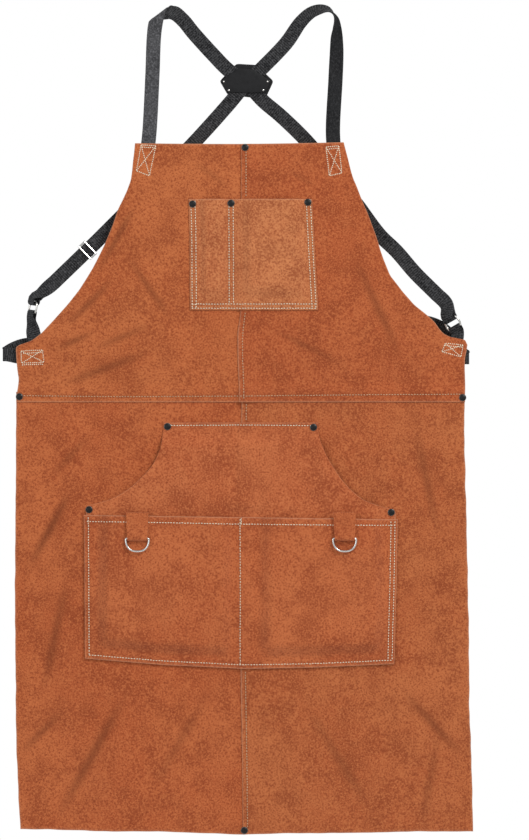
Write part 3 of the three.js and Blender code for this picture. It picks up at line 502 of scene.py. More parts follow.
def leatherPiece(name, xs, zs, depthAt, mat, nodes):
    # a closed sheet of leather with rolled cut edges and its seams pressed in
    half = layers["leather"] / 2
    xs, zs = nearEdges(xs), nearEdges(zs)
    rows, cols = xs.shape
    rim = np.zeros((rows, cols))
    for inset, weight in ((2, 0.12), (1, 0.5), (0, 1.0)):
        rim[inset, inset:cols - inset] = rim[-1 - inset, inset:cols - inset] = weight
        rim[inset:rows - inset, inset] = rim[inset:rows - inset, -1 - inset] = weight
    middle = depthAt(xs, zs) + drape(xs, zs)
    seam = groove(xs, zs)
    front = np.stack([xs, middle - half + cut["press"] * seam + cut["rollDepth"] * rim, zs], axis=-1)
    back = np.stack([xs, middle + half - cut["backRoll"] * (rim > 0.9), zs], axis=-1)
    points = np.concatenate([front.reshape(-1, 3), back.reshape(-1, 3)])
    total = rows * cols
    index = np.arange(total).reshape(rows, cols)
    faces, indices = [], []

    def quads(a, b, c, d, kind):
        block = np.stack([a, b, c, d], axis=-1).reshape(-1, 4)
        faces.extend(block.tolist())
        indices.extend([kind] * len(block))

    a, b, c, d = index[:-1, :-1], index[1:, :-1], index[1:, 1:], index[:-1, 1:]
    quads(a, b, c, d, 0)
    quads(a + total, d + total, c + total, b + total, 2)
    left, right, top, bottom = index[:, 0], index[:, -1], index[0, :], index[-1, :]
    quads(left[:-1] + total, left[1:] + total, left[1:], left[:-1], 1)
    quads(right[:-1], right[1:], right[1:] + total, right[:-1] + total, 1)
    quads(top[1:] + total, top[:-1] + total, top[:-1], top[1:], 1)
    quads(bottom[:-1] + total, bottom[1:] + total, bottom[1:], bottom[:-1], 1)
    obj = meshObject(name, points, faces, [mat, cutEdge, flesh], indices)
    # painted shade of the creases and of the leather beside the seams, stored per point for the suede
    seamShade, rimShade = 0.33, 0.6
    shade = np.maximum(creaseShade(xs, zs), seamShade * seam)
    addAttribute(obj, "painted_shade", np.tile(shade.ravel(), 2))
    addAttribute(obj, "edge", np.tile(rimShade * rim.ravel(), 2))
    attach(obj, "apron")
    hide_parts(*nodes)
    return obj


# how far each piece lies in front of the left skirt panel
def depthSkirtLeft(x, z):
    return np.zeros_like(x)


def depthSkirtRight(x, z):
    return -pitch * lap(x)


def depthBibLeft(x, z):
    return -pitch * waistLap(z) * (1 + ease((x + levels["lapRamp"]) / (levels["lapRamp"] - layers["gap"])))


def depthBibRight(x, z):
    over = lap(x)
    return -pitch * (over * (1 + 2 * waistLap(z)) + (1 - over) * waistLap(z))


chest = {
    "left": [(-69.4, -253.2), (-68.2, -300), (-67.6, -400.4)],
    "right": [(94.1, -253.2), (97.5, -320), (102.0, -400.4)],
    "top": -253.3, "bottom": -400.3, "divider": -18.5, "margin": 12.0, "ramp": 20.0, "room": 5.2,
}


def depthChest(x, z):
    xl, xr = along(chest["left"], z), along(chest["right"], z)
    margin = chest["margin"]
    small = np.minimum(rise(x - xl - margin, 12), rise(chest["divider"] - x, 12))
    large = np.minimum(rise(x + layers["gap"], 14), rise(xr - margin - x, 12))
    stand = np.maximum(small, large) * rise(z - chest["bottom"] - margin, chest["ramp"])
    return -pitch * (1 + lapBoth(x)) - chest["room"] * stand


tool = {
    "left": [(-207.9, -665), (-207.4, -720), (-206.5, -880)],
    "right": [(207.6, -665), (206.0, -760), (202.9, -880)],
    "topLeft": -671.6, "topRight": -677.4, "half": 205.0, "margin": 12.0, "ramp": 20.0, "room": 5.2,
    "divider": (-8, 22), "behindTop": -674.5,
}


def toolTopAt(x):
    return tool["topLeft"] + (tool["topRight"] - tool["topLeft"]) * (x + 208) / 416


def toolBottomAt(x):
    sag = [(-208, -861.6), (-100, -870.4), (4, -875.4), (100, -873.6), (204, -868.9)]
    return np.interp(x, [p[0] for p in sag], [p[1] for p in sag])


hand = {
    "left": [
        (-103.0, -549.2), (-103.0, -557.4), (-103.9, -568), (-106.0, -580.4), (-109.8, -591),
        (-115.3, -602.9), (-123.4, -613.8), (-133.8, -624.1), (-145.2, -634.8), (-157.7, -643.4),
        (-168.5, -649.2), (-178.9, -653.2), (-193, -656.8), (-204.6, -659.4), (-205.2, -664),
        (-204.9, -700), (-203.9, -875),
    ],
    "right": [
        (102.4, -549.2), (102.4, -560.5), (105.2, -574), (110.0, -586.3), (117.0, -600.5),
        (125.2, -613.5), (133.8, -625.6), (143.5, -636.5), (153.4, -645.6), (164.8, -653.0),
        (182.0, -659.4), (200.2, -663.8), (204.6, -666.5), (204.9, -700), (200.6, -875),
    ],
    "top": -549.5, "entryEnd": -659.5, "bendStart": -672.0, "bottom": -872.0,
}


def insideTool(x, z):
    # rises from the tool pocket's divider, from its sides and from its bottom seam
    margin, ramp = tool["margin"], tool["ramp"]
    beside = rise(np.maximum(tool["divider"][0] - x, x - tool["divider"][1]), ramp)
    side = rise(tool["half"] - margin - np.abs(x), ramp)
    return beside, side, rise(z - toolBottomAt(x) - margin, ramp)


def handStandOff(x, z):
    beside, side, bottom = insideTool(x, z)
    middle = np.maximum(rise(z - tool["behindTop"], tool["ramp"]), beside)
    side = np.maximum(rise(z - hand["entryEnd"], tool["ramp"]), side)
    return np.minimum(middle, side) * bottom


def depthHand(x, z):
    below = rise(hand["top"] - tool["margin"] - z, tool["ramp"])
    return -pitch * (1 + lapBoth(x)) - tool["room"] * below * handStandOff(x, z)


def depthTool(x, z):
    beside, side, bottom = insideTool(x, z)
    return depthHand(x, z) - pitch - tool["room"] * np.minimum(beside, side) * bottom


longStitch, shortStitch, tackStitch = 3.7, 2.6, 1.6
waistStitch = -514.2
chestRows = [-392.4, -397.9]  # two rows along the chest pocket's bottom


def seamLine(piece, points, depthAt, pressed=True, length=longStitch):
    stitchLines.append((piece, points, depthAt, length))
    if pressed:
        seams.append(points)


def edgePoints(table, inset, zFrom, zTo, step=18):
    return [(float(along(table, z)) + inset, z) for z in spaced(zFrom, zTo, step)]


def seamRuns(piece, depthAt, *runs):
    for points in runs:
        seamLine(piece, points, depthAt)


seamRuns("stitches_seam_bib", depthBibRight,
         edgePoints(lapEdge, 6.4, -182, -250), edgePoints(lapEdge, 6.4, -403, -518))
seamRuns("stitches_seam_skirt", depthSkirtRight,
         edgePoints(skirtLapEdge, 6.2, -524, -547), edgePoints(skirtLapEdge, 6.2, -878.5, -1090))
seamRuns("stitches_seam_bib", depthBibLeft, [(-296, -513.6), (-160, -515), (-3, waistStitch)])
seamRuns("stitches_seam_bib", depthBibRight, [(-2, waistStitch), (150, -512.6), (295, -511.8)])
for inset in (3.0, 8.4):
    low = chest["bottom"] + 2.6
    seamRuns("stitches_chest", depthChest, edgePoints(chest["left"], inset, -254.5, low),
             edgePoints(chest["right"], -inset + 0.6, -254.5, low))
seamRuns("stitches_chest", depthChest,
         [(-66, chestRows[1]), (100, chestRows[1])], [(-66, chestRows[0]), (99.5, -392.2)],
         [(-16.1, -254.5), (-15.6, -391)], [(-10.4, -254.5), (-9.9, -391)])
seamRuns("stitches_hand", depthHand, [(-101, -553.2), (0, -552.6), (101, -553.4)])
seamRuns("stitches_tool", depthTool,
         [(-205, -680.2), (-100, -681.6), (0, -683.8), (100, -684.6), (205, -685.4)],
         edgePoints(tool["left"], 5.6, -673.5, -857),
         edgePoints(tool["right"], -3.4, -679.5, -863), edgePoints(tool["right"], -8.8, -679.5, -863),
         [(x, float(toolBottomAt(x)) + 5.2) for x in spaced(-202, 200, 20)],
         [(-1.3, -676.5), (-1.0, -760), (-1.3, -870)])
seamLine("stitches_tool", [(0.2, -675.6), (0.1, -683)], depthTool, False, tackStitch)


def crossBox(corners, depthAt, extra):
    # a box of stitches with its two diagonals, which holds webbing sewn behind the bib
    a, b, c, d = corners
    for line in [[a, b], [b, c], [c, d], [d, a], [a, c], [b, d], *extra]:
        seamLine("stitches_bib", line, depthAt, False, shortStitch)


crossBox([(-132.4, -181.6), (-112.8, -182.6), (-121.3, -222.2), (-138.6, -216.0)], depthBibLeft,
         [[(-131.6, -184.4), (-113.4, -185.4)]])
crossBox([(112.6, -184.4), (129.6, -182.8), (133.6, -218.6), (117.0, -222.4)], depthBibRight,
         [[(113.2, -187.2), (130.0, -185.8)]])
crossBox([(-291.6, -454.6), (-263.0, -453.2), (-261.2, -469.4), (-290.6, -470.6)], depthBibLeft,
         [[(-291, -473), (-261.6, -472)], [(-289.2, -457.6), (-264, -456.4)]])
crossBox([(270.6, -444.2), (294.4, -446.6), (291.4, -462.2), (266.2, -455.6)], depthBibRight,
         [[(269, -447), (293.4, -449.6)]])


def bibTopAt(x):
    dip = bib["topDip"] * (1 - ((x - 4) / 138) ** 2)
    return bib["topMiddle"] - dip + bib["topRise"] * clip01(x / 135)


def shiftTop(xs, zs):
    # bends the topmost rows to the bib's slightly dipped edge
    share = clip01(1 - (levels["bibTop"] - zs) / bib["topBend"])
    return zs + share * (bibTopAt(xs) - levels["bibTop"])


def cutLine(table, size, seed):
    # an outline as it was cut, a little unevenly
    return lambda z: along(table, z) + wobble(0, z, size, seed)


def lapInside(z):
    # where a left panel ends, under the right one
    return 12


seamRows = denser(spaced(-179.5, -522.2, 3.6), [waistStitch], (0.0, 1.2, 2.6, 4.2))
bibRows = sorted(set(seamRows + spaced(-436, -455, 1.4)), reverse=True)
bibRows = [z for i, z in enumerate(bibRows) if i == 0 or bibRows[i - 1] - z > 0.6]
leftFixed = [-24, -20, -16, -12, -8, -6, -4, -2, -0.3, 3, 8, 12]
rightFixed = [4.2, 5.4, 6.4, 7.4, 8.6, 11, 14, 16, 18, 20, 22, 26]

xs, zs = rowsBetween(bibRows, cutLine(bib["left"], 0.7, 2.0), lapInside, leftFixed, 3.8)
bibLeft = leatherPiece("apron_bib_left", xs, shiftTop(xs, zs), depthBibLeft, suedes["bibLeft"],
                       ["bib_panel_left"])
xs, zs = rowsBetween(bibRows, cutLine(lapEdge, 0.5, 5.0), cutLine(bib["right"], 0.7, 9.0), rightFixed, 3.8)
bibRight = leatherPiece("apron_bib_right", xs, shiftTop(xs, zs), depthBibRight, suedes["bibRight"],
                        ["bib_panel_right"])


def skirtPiece(name, leftEdge, rightEdge, fixed, depthAt, mat, node):
    top = levels["waist"] + skirt["underBib"]
    rows = [top + (levels["hem"] - top) * share for share in spaced(0, 1, 1 / skirt["rows"])]
    xs, zs = rowsBetween(rows, leftEdge, rightEdge, fixed, 4.0)
    hem = np.interp(xs, [p[0] for p in skirt["hem"]], [p[1] for p in skirt["hem"]])
    hem = hem + wobble(xs, np.full_like(xs, -1090), 0.8, 3.0)
    zs = top + (hem - top) * (zs - top) / (levels["hem"] - top)
    return leatherPiece(name, xs, zs, depthAt, mat, [node])


skirtLeft = skirtPiece("apron_skirt_left", cutLine(skirt["left"], 1.0, 4.0), lapInside, leftFixed,
                       depthSkirtLeft, suedes["skirtLeft"], "skirt_panel_left")
skirtRight = skirtPiece("apron_skirt_right",
                        cutLine(skirtLapEdge, 0.5, 6.0), cutLine(skirt["right"], 1.0, 8.0),
                        rightFixed, depthSkirtRight, suedes["skirtRight"], "skirt_panel_right")

besideSeam = (0.0, 0.9, 2.0)
rows = denser(spaced(chest["top"], chest["bottom"], 3.0), [-392.3, chestRows[1]], (0.0, 0.9, 1.9))[::-1]
columns = denser(spaced(-50, 78, 3.0), [-16, -10.2], besideSeam)
chestLeft, chestRight = cutLine(chest["left"], 0.5, 12.0), cutLine(chest["right"], 0.5, 15.0)
xs, zs = rowsBetween(rows, chestLeft, chestRight, columns, 1.6)
chestPiece = leatherPiece("apron_chest_pocket", xs, zs, depthChest, suedes["chest"], ["chest_pocket"])

rows = denser(spaced(hand["top"], hand["bendStart"], 3.2), [-553.1], besideSeam)[::-1]
rows += spaced(hand["bendStart"], hand["bottom"], 4.0)[1:]
columns = denser(spaced(-92, 92, 3.6), [-1.2], besideSeam)
xs, zs = rowsBetween(rows, cutLine(hand["left"], 0.5, 21.0), cutLine(hand["right"], 0.5, 24.0), columns, 3.6)
# rows below the tool pocket's mouth follow its sagging bottom edge, 3 mm inside it
start, end = hand["bendStart"], hand["bottom"]
share = clip01((start - zs) / (start - end))
zs = np.where(zs < start, start + (toolBottomAt(xs) + 3.0 - start) * share, zs)
handPiece = leatherPiece("apron_hand_pocket", xs, zs, depthHand, suedes["hand"], ["hand_pocket"])

mouth = tool["behindTop"]
rows = [mouth - 200 * r for r in spaced(0, 1, 1 / 58.0)]
columns = denser(spaced(-170, 170, 3.8), [-1.2], besideSeam)
xs, zs = rowsBetween(rows, cutLine(tool["left"], 0.6, 31.0), cutLine(tool["right"], 0.6, 34.0), columns, 2.2)
share = (mouth - zs) / 200
topEdge = toolTopAt(xs) + wobble(xs, np.zeros_like(xs), 0.5, 36.0)
zs = topEdge + (toolBottomAt(xs) - topEdge) * share
toolPiece = leatherPiece("apron_tool_pocket", xs, zs, depthTool, suedes["tool"], ["tool_pocket"])
print("leather panels and pockets built")


stitch = {
    "seed": 7, "jitter": 0.12, "share": (0.60, 0.70), "long": 0.64, "short": 0.75, "shortBelow": 3,
    "sunk": 0.1, "sides": 6,
}


def stitchShape(center, way, up, length, radius):
    # one stitch: a short thread that dips at both ends
    side = np.cross(way, up)
    rings = [(-0.5, 0.25), (-0.36, 0.85), (0.0, 1.0), (0.36, 0.85), (0.5, 0.25)]
    count = stitch["sides"]
    points, faces = [], []
    for share, fat in rings:
        dip = 0.35 * radius * (1 - abs(share) * 2)
        for k in range(count):
            angle = 2 * math.pi * k / count
            points.append(center + way * (share * length)
                          + up * (dip + radius * fat * 0.8 * math.sin(angle))
                          + side * (radius * fat * math.cos(angle)))
    for r in range(len(rings) - 1):
        for k in range(count):
            a, b = r * count + k, r * count + (k + 1) % count
            faces.append((a, b, b + count, a + count))
    faces.append(tuple(range(count - 1, -1, -1)))
    last = (len(rings) - 1) * count
    faces.append(tuple(range(last, last + count)))
    return points, faces


def layStitches():
    rng = np.random.default_rng(stitch["seed"])
    half = layers["leather"] / 2
    ahead = 0.6
    grouped = {}
    for piece, line, depthAt, length in stitchLines:
        points, faces = grouped.setdefault(piece, ([], []))
        line = np.array(line, float)
        legs = np.diff(line, axis=0)
        steps = np.linalg.norm(legs, axis=1)
        total = steps.sum()
        count = max(1, int(round(total / length)))
        places = (np.arange(count) + 0.5) * total / count
        cum = np.concatenate([[0], np.cumsum(steps)])
        px = np.interp(places, cum, line[:, 0]) + rng.normal(0, stitch["jitter"], count)
        pz = np.interp(places, cum, line[:, 1]) + rng.normal(0, stitch["jitter"], count)
        front = depthAt(px, pz) + drape(px, pz) - half
        index = np.clip(np.searchsorted(cum, places) - 1, 0, len(steps) - 1)
        dirs = legs[index] / steps[index][:, None]
        nextX, nextZ = px + dirs[:, 0] * ahead, pz + dirs[:, 1] * ahead
        slope = (depthAt(nextX, nextZ) + drape(nextX, nextZ) - front - half) / ahead
        radius = stitch["short"] if length < stitch["shortBelow"] else stitch["long"]
        for i in range(count):
            way = unit(dirs[i, 0], slope[i], dirs[i, 1])
            up = unit(0, -1, 0)
            up = up - way * np.dot(up, way)
            up = up / np.linalg.norm(up)
            center = np.array([px[i], front[i] - stitch["sunk"], pz[i]])
            made, quads = stitchShape(center, way, up, length * rng.uniform(*stitch["share"]), radius)
            base = len(points)
            points.extend(made)
            faces.extend([tuple(base + v for v in f) for f in quads])
    for piece, (points, faces) in grouped.items():
        mat = wornThread if "seam" in piece else thread
        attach(meshObject(piece, np.array(points), faces, [mat], sharp=80), "apron")
    print("stitches laid:", sum(len(f) for p, f in grouped.values()), "faces")


layStitches()


def catmull(points, params):
    # a smooth curve through the points, which doesn't overshoot where they lie close together
    points = [np.array(p, float) for p in points]
    count = len(points)
    out = []
    for t in params:
        p = (count - 1) * t
        i = min(int(math.floor(p)), count - 2)
        w = p - i
        p1, p2 = points[i], points[i + 1]
        p0 = points[i - 1] if i > 0 else 2 * p1 - p2
        p3 = points[i + 2] if i + 2 < count else 2 * p2 - p1
        d0 = max(1e-4, np.dot(p0 - p1, p0 - p1) ** 0.25)
        d1 = max(1e-4, np.dot(p1 - p2, p1 - p2) ** 0.25)
        d2 = max(1e-4, np.dot(p2 - p3, p2 - p3) ** 0.25)
        t1 = ((p1 - p0) / d0 - (p2 - p0) / (d0 + d1) + (p2 - p1) / d1) * d1
        t2 = ((p2 - p1) / d1 - (p3 - p1) / (d1 + d2) + (p3 - p2) / d2) * d1
        out.append(p1 + t1 * w + (-3 * p1 + 3 * p2 - 2 * t1 - t2) * w ** 2
                   + (2 * p1 - 2 * p2 + t1 + t2) * w ** 3)
    return np.array(out)


def evenly(points, step):
    fine = catmull(points, np.linspace(0, 1, 60 * len(points)))
    cum = np.concatenate([[0], np.cumsum(np.linalg.norm(np.diff(fine, axis=0), axis=1))])
    count = int(round(cum[-1] / step))
    where = np.linspace(0, cum[-1], count + 1)
    line = np.stack([np.interp(where, cum, fine[:, k]) for k in range(3)], axis=-1)
    return line, where, cum[-1]


def tangents(line):
    d = np.gradient(line, axis=0)
    return d / np.linalg.norm(d, axis=1)[:, None]


def bezier(a, b, c, d, share):
    s = 1 - share
    return s ** 3 * a + 3 * s * s * share * b + 3 * s * share ** 2 * c + share ** 3 * d


def acrossFor(direction, twist, sign):
    # the direction across a tape: flat to the front, then turned by twist degrees
    flat = unit(-direction[2], 0, direction[0]) * -sign
    angle = math.radians(twist)
    return flat * math.cos(angle) + np.array([0, sign * math.sin(angle), 0])


def layered(stations, side, turnSteps=14):
    # there, round the wire and back: stations hold point, across and half the gap of the layers
    points = np.array([s[0] for s in stations])
    ways = np.array([points[min(i + 1, len(points) - 1)] - points[max(i - 1, 0)] for i in range(len(points))])
    ways /= np.linalg.norm(ways, axis=1)[:, None]
    there, back = [], []
    for (point, across, spread), way in zip(stations, ways):
        up = np.cross(way, across)
        up /= np.linalg.norm(up)
        there.append((point + up * side * spread, across))
        back.append((point - up * side * spread, across))
    point, across, spread = stations[-1]
    turn = []
    for i in range(1, turnSteps):
        angle = math.pi * i / turnSteps
        out = up * side * math.cos(angle) + ways[-1] * math.sin(angle)
        turn.append((point + out * spread, across))
    return there + turn + back[::-1]


def tape(name, stations, node, mats, flip=False, rideOn="apron", slant=None):
    # webbing swept along stations, with rounded selvedges and lengthwise coordinates for the weave
    points = np.array([s[0] for s in stations], float)
    acrosses = np.array([s[1] for s in stations], float)
    ways = np.zeros_like(points)
    for i in range(len(points)):
        ways[i] = points[min(i + 1, len(points) - 1)] - points[max(i - 1, 0)]
    ways /= np.linalg.norm(ways, axis=1)[:, None]
    acrosses -= ways * np.sum(ways * acrosses, axis=1)[:, None]
    acrosses /= np.linalg.norm(acrosses, axis=1)[:, None]
    ups = np.cross(ways, acrosses)
    if slant is not None:
        acrosses = acrosses + ways * slant[:, None]
    cum = np.concatenate([[0], np.cumsum(np.linalg.norm(np.diff(points, axis=0), axis=1))])
    half, thick = layers["webWidth"] / 2, layers["webbing"] / 2
    selvedge = [(-half, -0.35), (-half + 0.35, -0.85), (-half + 1.2, -1.0), (-half * 0.45, -0.93)]
    section = selvedge + [(0, -0.92)] + [(-w, t) for w, t in selvedge[::-1]]
    section += [(w, -t) for w, t in section[::-1]]
    size = len(section)
    verts, faces, indices, coords = [], [], [], []
    for i in range(len(points)):
        for w, t in section:
            verts.append(points[i] + acrosses[i] * w + ups[i] * (t * thick))
    for i in range(len(points) - 1):
        for k in range(size):
            a, b = i * size + k, i * size + (k + 1) % size
            faces.append((a, b, b + size, a + size))
            lower = k < size // 2
            indices.append(int(lower == flip))
            v0, v1 = section[k][0] + half, section[(k + 1) % size][0] + half
            coords += [(cum[i], v0), (cum[i], v1), (cum[i + 1], v1), (cum[i + 1], v0)]
    faces.append(tuple(range(size - 1, -1, -1)))
    last = (len(points) - 1) * size
    faces.append(tuple(range(last, last + size)))
    indices += [1, 1]
    coords += [(0, 0)] * (2 * size)
    obj = meshObject(name, np.array(verts), faces, mats, indices, sharp=70)
    layer = obj.data.uv_layers.new(name="tape")
    layer.data.foreach_set("uv", np.array(coords, np.float32).ravel())
    if rideOn:
        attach(obj, rideOn)
    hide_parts(node)
    return obj


wire = {"radius": 1.4, "reach": 14.0, "width": 26.4, "bluntness": 5, "swing": 8.0}
halfWeb = layers["webbing"] / 2
tabTurn = wire["radius"] + halfWeb + layers["gap"]
strapTurn = tabTurn + wire["reach"] * math.sin(math.radians(wire["swing"]))
straightAtWire, splayLength = 4.0, 12.0


def splay(away, turn):
    closed = webPitch / 2
    return closed + (turn - closed) * float(ease(1 - (away - straightAtWire) / splayLength))


waistSides = {
    "left": {
        "sign": -1, "bow": (-275, 11, -389), "pull": unit(-0.16, 0, -0.99), "twist": 64,
        "slider": (-204, 16, -320.5), "run": unit(-71, 0, -68.5), "straight": 62, "via": [],
        "tail": 17, "tailSide": 1, "foot": -274,
    },
    "right": {
        "sign": 1, "bow": (277, 11, -411), "pull": unit(0.5, 0, -0.87), "twist": 40,
        "slider": (142, 20, -244), "run": unit(34, 0, -44.5), "straight": 26,
        "via": [
            (184, 18, -300), (206.5, 17, -322), (231, 15, -350.5), (257.5, 12.5, -377),
            (272.5, 11.5, -392.5),
        ],
        "tail": 30, "tailSide": -1, "foot": 285,
    },
}
for side in waistSides.values():
    side["bow"] = np.array(side["bow"], float)
    side["slider"] = np.array(side["slider"], float)
    side["barAcross"] = acrossFor(side["pull"], side["twist"], side["sign"])
    side["bar"] = side["bow"] + side["pull"] * wire["reach"]


def strapToRing(side):
    # the doubled end of a strap: through its slider, on to the ring and back
    stationStep, bendLead, twistLength = 2.2, 6, 40
    tailEnd = side["slider"] - side["run"] * side["tail"]
    straightEnd = side["slider"] + side["run"] * side["straight"]
    beforeEnd = side["slider"] + side["run"] * (side["straight"] - bendLead)
    nearBow = side["bow"] - side["pull"] * straightAtWire
    knots = [tailEnd, side["slider"], beforeEnd, straightEnd, *side["via"], nearBow]
    line, where, total = evenly(knots, stationStep)
    ways = tangents(line)
    stations = []
    for point, way, at in zip(line[:-1], ways, where):
        away = total - at + straightAtWire
        twist = side["twist"] * float(ease(1 - away / twistLength))
        stations.append((point, acrossFor(way, twist, side["sign"]), splay(away, strapTurn)))
    for point in (nearBow, side["bow"]):
        stations.append((point, side["barAcross"], strapTurn))
    return layered(stations, side["tailSide"])


def shoulderStrap(name, knots, side, node, mats, slants=None):
    doubled = strapToRing(side)
    places = [k[0] for k in knots] + [doubled[0][0]]
    turns = [k[1] for k in knots] + [doubled[0][1]]
    params = np.linspace(0, 1, 420)
    lead = list(zip(catmull(places, params), catmull(turns, params)))
    slant = None
    if slants:
        # where the tape folds over a slanting crest its cross lines run along that crest
        at = params[:-1] * (len(places) - 1)
        leaning = np.interp(at, [k[0] for k in slants], [k[1] for k in slants])
        slant = np.concatenate([leaning, np.zeros(len(doubled))])
    return tape(name, lead[:-1] + doubled, node, mats, flip=True, slant=slant)


patch = {"middle": (6.6, -97.0), "depth": 34.0}
backPass, frontPass = patch["depth"], patch["depth"] - webPitch
bibBack = layers["leather"] / 2 + layers["gap"] + halfWeb
sewnZ = levels["bibTop"] - 44
shoulderStrap("strap_left", [
    ((-129.5, bibBack, sewnZ), unit(-0.97, 0, -0.17)),
    ((-124.5, bibBack, -191.5), unit(-0.98, 0, -0.14)),
    ((-121.5, 3.5, -165), unit(-1, 0, -0.05)),
    ((-117.6, 6, -90), unit(-1, 0, 0.04)),
    ((-115.4, 7.5, -36), unit(-1, 0, 0.05)),
    ((-112.6, 8, -16.5), unit(-0.98, 0, 0.2)),
    ((-110.9, 9.2, -9.8), (-0.848, 0.529, 0.025)),
    ((-108.8, 12, -6.8), (-0.531, 0.748, -0.398)),
    ((-105.2, 14.8, -5.6), (-0.214, 0.529, -0.821)),
    ((-99.7, 16, -5.2), (-0.08, 0, -0.996)),
    ((-87.6, 18.5, -6.6), unit(-0.3, 0, -0.95)),
    ((-76.8, 21.5, -15), unit(-0.6, 0, -0.8)),
    ((-64, 26, -30.5), unit(-0.75, 0, -0.66)),
    ((-39, backPass - 1, -57.8), unit(-0.74, 0, -0.67)),
    ((-17.4, backPass, -79.8), unit(-0.72, 0, -0.69)),
    ((6.6, backPass, -97), unit(-0.68, 0, -0.73)),
    ((29, backPass - 0.3, -121), unit(-0.62, 0, -0.78)),
    ((53, backPass - 3, -141.5), unit(-0.64, 0, -0.77)),
    ((88, 27, -176), unit(-0.7, 0, -0.71)),
], waistSides["right"], "shoulder_strap_left", [webPaintedLit, webDark],
    [(0, 0), (3.4, 0), (5, -1.127), (9, -1.127), (11, 0), (40, 0)])
shoulderStrap("strap_right", [
    ((130, bibBack, sewnZ), unit(0.99, 0, -0.1)),
    ((124, bibBack, -191.5), unit(0.99, 0, -0.1)),
    ((121.8, 3.5, -165), unit(1, 0, -0.02)),
    ((125.2, 5.5, -95), unit(1, 0, 0.03)),
    ((126.8, 7.5, -58), (0.951, -0.309, -0.02)),
    ((126.9, 9, -38), (0.819, -0.574, -0.01)),
    ((127.2, 10.5, -26), (0.574, -0.819, 0)),
    ((126.2, 12.5, -15.5), (0.332, -0.94, 0.086)),
    ((121.5, 15.5, -6.3), (-0.027, -0.999, -0.023)),
    ((112, 19.5, -0.8), (-0.225, -0.766, -0.579)),
    ((103.2, 22, -0.6), (0.093, -0.629, -0.761)),
    ((92.3, 24.5, -4.8), (0.433, -0.5, -0.736)),
    ((79.1, 27.5, -16.9), (0.686, -0.342, -0.639)),
    ((60.5, frontPass - 1.5, -43.5), unit(0.76, 0, -0.65)),
    ((30.5, frontPass, -75), unit(0.74, 0, -0.67)),
    ((6.6, frontPass, -98), unit(0.7, 0, -0.72)),
    ((-17, frontPass - 0.3, -126), unit(0.7, 0, -0.71)),
    ((-59, frontPass - 4, -173), unit(0.7, 0, -0.71)),
    ((-115, 24, -231), unit(0.7, 0, -0.71)),
], waistSides["left"], "shoulder_strap_right", [webDark, webPlain])

cornerZ, cornerTop = levels["waist"] + 58, levels["waist"] + 78  # where tabs and belts are sewn


def waistTab(name, side, node):
    flatY = bibBack + webPitch / 2
    across = np.array([-side["sign"], 0, 0], float)
    foot = side["foot"]
    free = np.array([foot, flatY, cornerTop])
    nearBar = side["bar"] + side["pull"] * straightAtWire
    reach = np.linalg.norm(free - nearBar)
    half = layers["webWidth"] / 2
    stations = []
    for z in (cornerZ - half, cornerZ, cornerZ + half):
        stations.append((np.array([foot, flatY, z]), across, webPitch / 2))
    pull = side["pull"]
    lead = (free, free + np.array([0, 0, reach / 3]), nearBar + pull * reach / 3, nearBar)
    for i in range(24):
        share = i / 24
        point, ahead = bezier(*lead, share), bezier(*lead, share + 0.01)
        way = (ahead - point) / np.linalg.norm(ahead - point)
        mixed = across + (side["barAcross"] - across) * float(ease(share))
        mixed = mixed - way * np.dot(mixed, way)
        away = reach * (1 - share) + straightAtWire
        stations.append((point, mixed / np.linalg.norm(mixed), splay(away, tabTurn)))
    for point in (nearBar, side["bar"]):
        stations.append((point, side["barAcross"], tabTurn))
    return tape(name, layered(stations, 1), node, [webDark, webDark])


waistTab("tab_left", waistSides["left"], "waist_tab_left")
waistTab("tab_right", waistSides["right"], "waist_tab_right")

buckle = {"x": 0.0, "y": 12.0, "z": -440.0, "socketEnd": -26.0, "plugEnd": 9.0, "slot": 2.3, "bar": 1.3}
barTurn = buckle["bar"] + layers["gap"] + halfWeb
belt = {"sewnFrom": 254, "edge": 300, "foldRadius": 3, "liftFrom": 288, "liftLength": 26}


def waistBelt(name, sign, foldOut, knots, barX, node, rideOn, lift=0.0):
    # sewn behind a corner of the bib, folded outside it, then across to its half of the buckle
    upright = np.array([0, 0, -sign], float)
    sewnY = bibBack + 2 * webPitch
    foldX, radius = sign * (belt["edge"] + foldOut), belt["foldRadius"]
    endZ = cornerZ + lift
    stations = []
    for x in np.linspace(sign * belt["sewnFrom"], foldX, 20)[:-1]:
        risen = lift * float(ease((abs(x) - belt["liftFrom"]) / belt["liftLength"]))
        stations.append((np.array([x, sewnY, cornerZ + risen]), upright))
    for i in range(12):
        angle = math.pi * i / 12
        out, back = radius * math.sin(angle), radius * (1 - math.cos(angle))
        stations.append((np.array([foldX + sign * out, sewnY + back, endZ]), upright))
    bar = np.array([barX, buckle["y"], buckle["z"]])
    closed = webPitch / 2
    spreads = [(22, closed), (14, closed), (22 / 3, closed), (4, barTurn), (0, barTurn)]
    loop = [(bar + np.array([sign * away, 0, 0]), upright, spread) for away, spread in spreads]
    looped = layered(loop, sign)
    fold = np.array([foldX, sewnY + 2 * radius, endZ])
    places = [fold] + [np.array(k[0], float) for k in knots] + [looped[0][0]]
    turns = [upright] + [np.array(k[1], float) for k in knots] + [looped[0][1]]
    params = np.linspace(0, 1, 150)
    stations += list(zip(catmull(places, params), catmull(turns, params)))[:-1]
    return tape(name, stations + looped, node, [webDark, webDark], rideOn=rideOn)


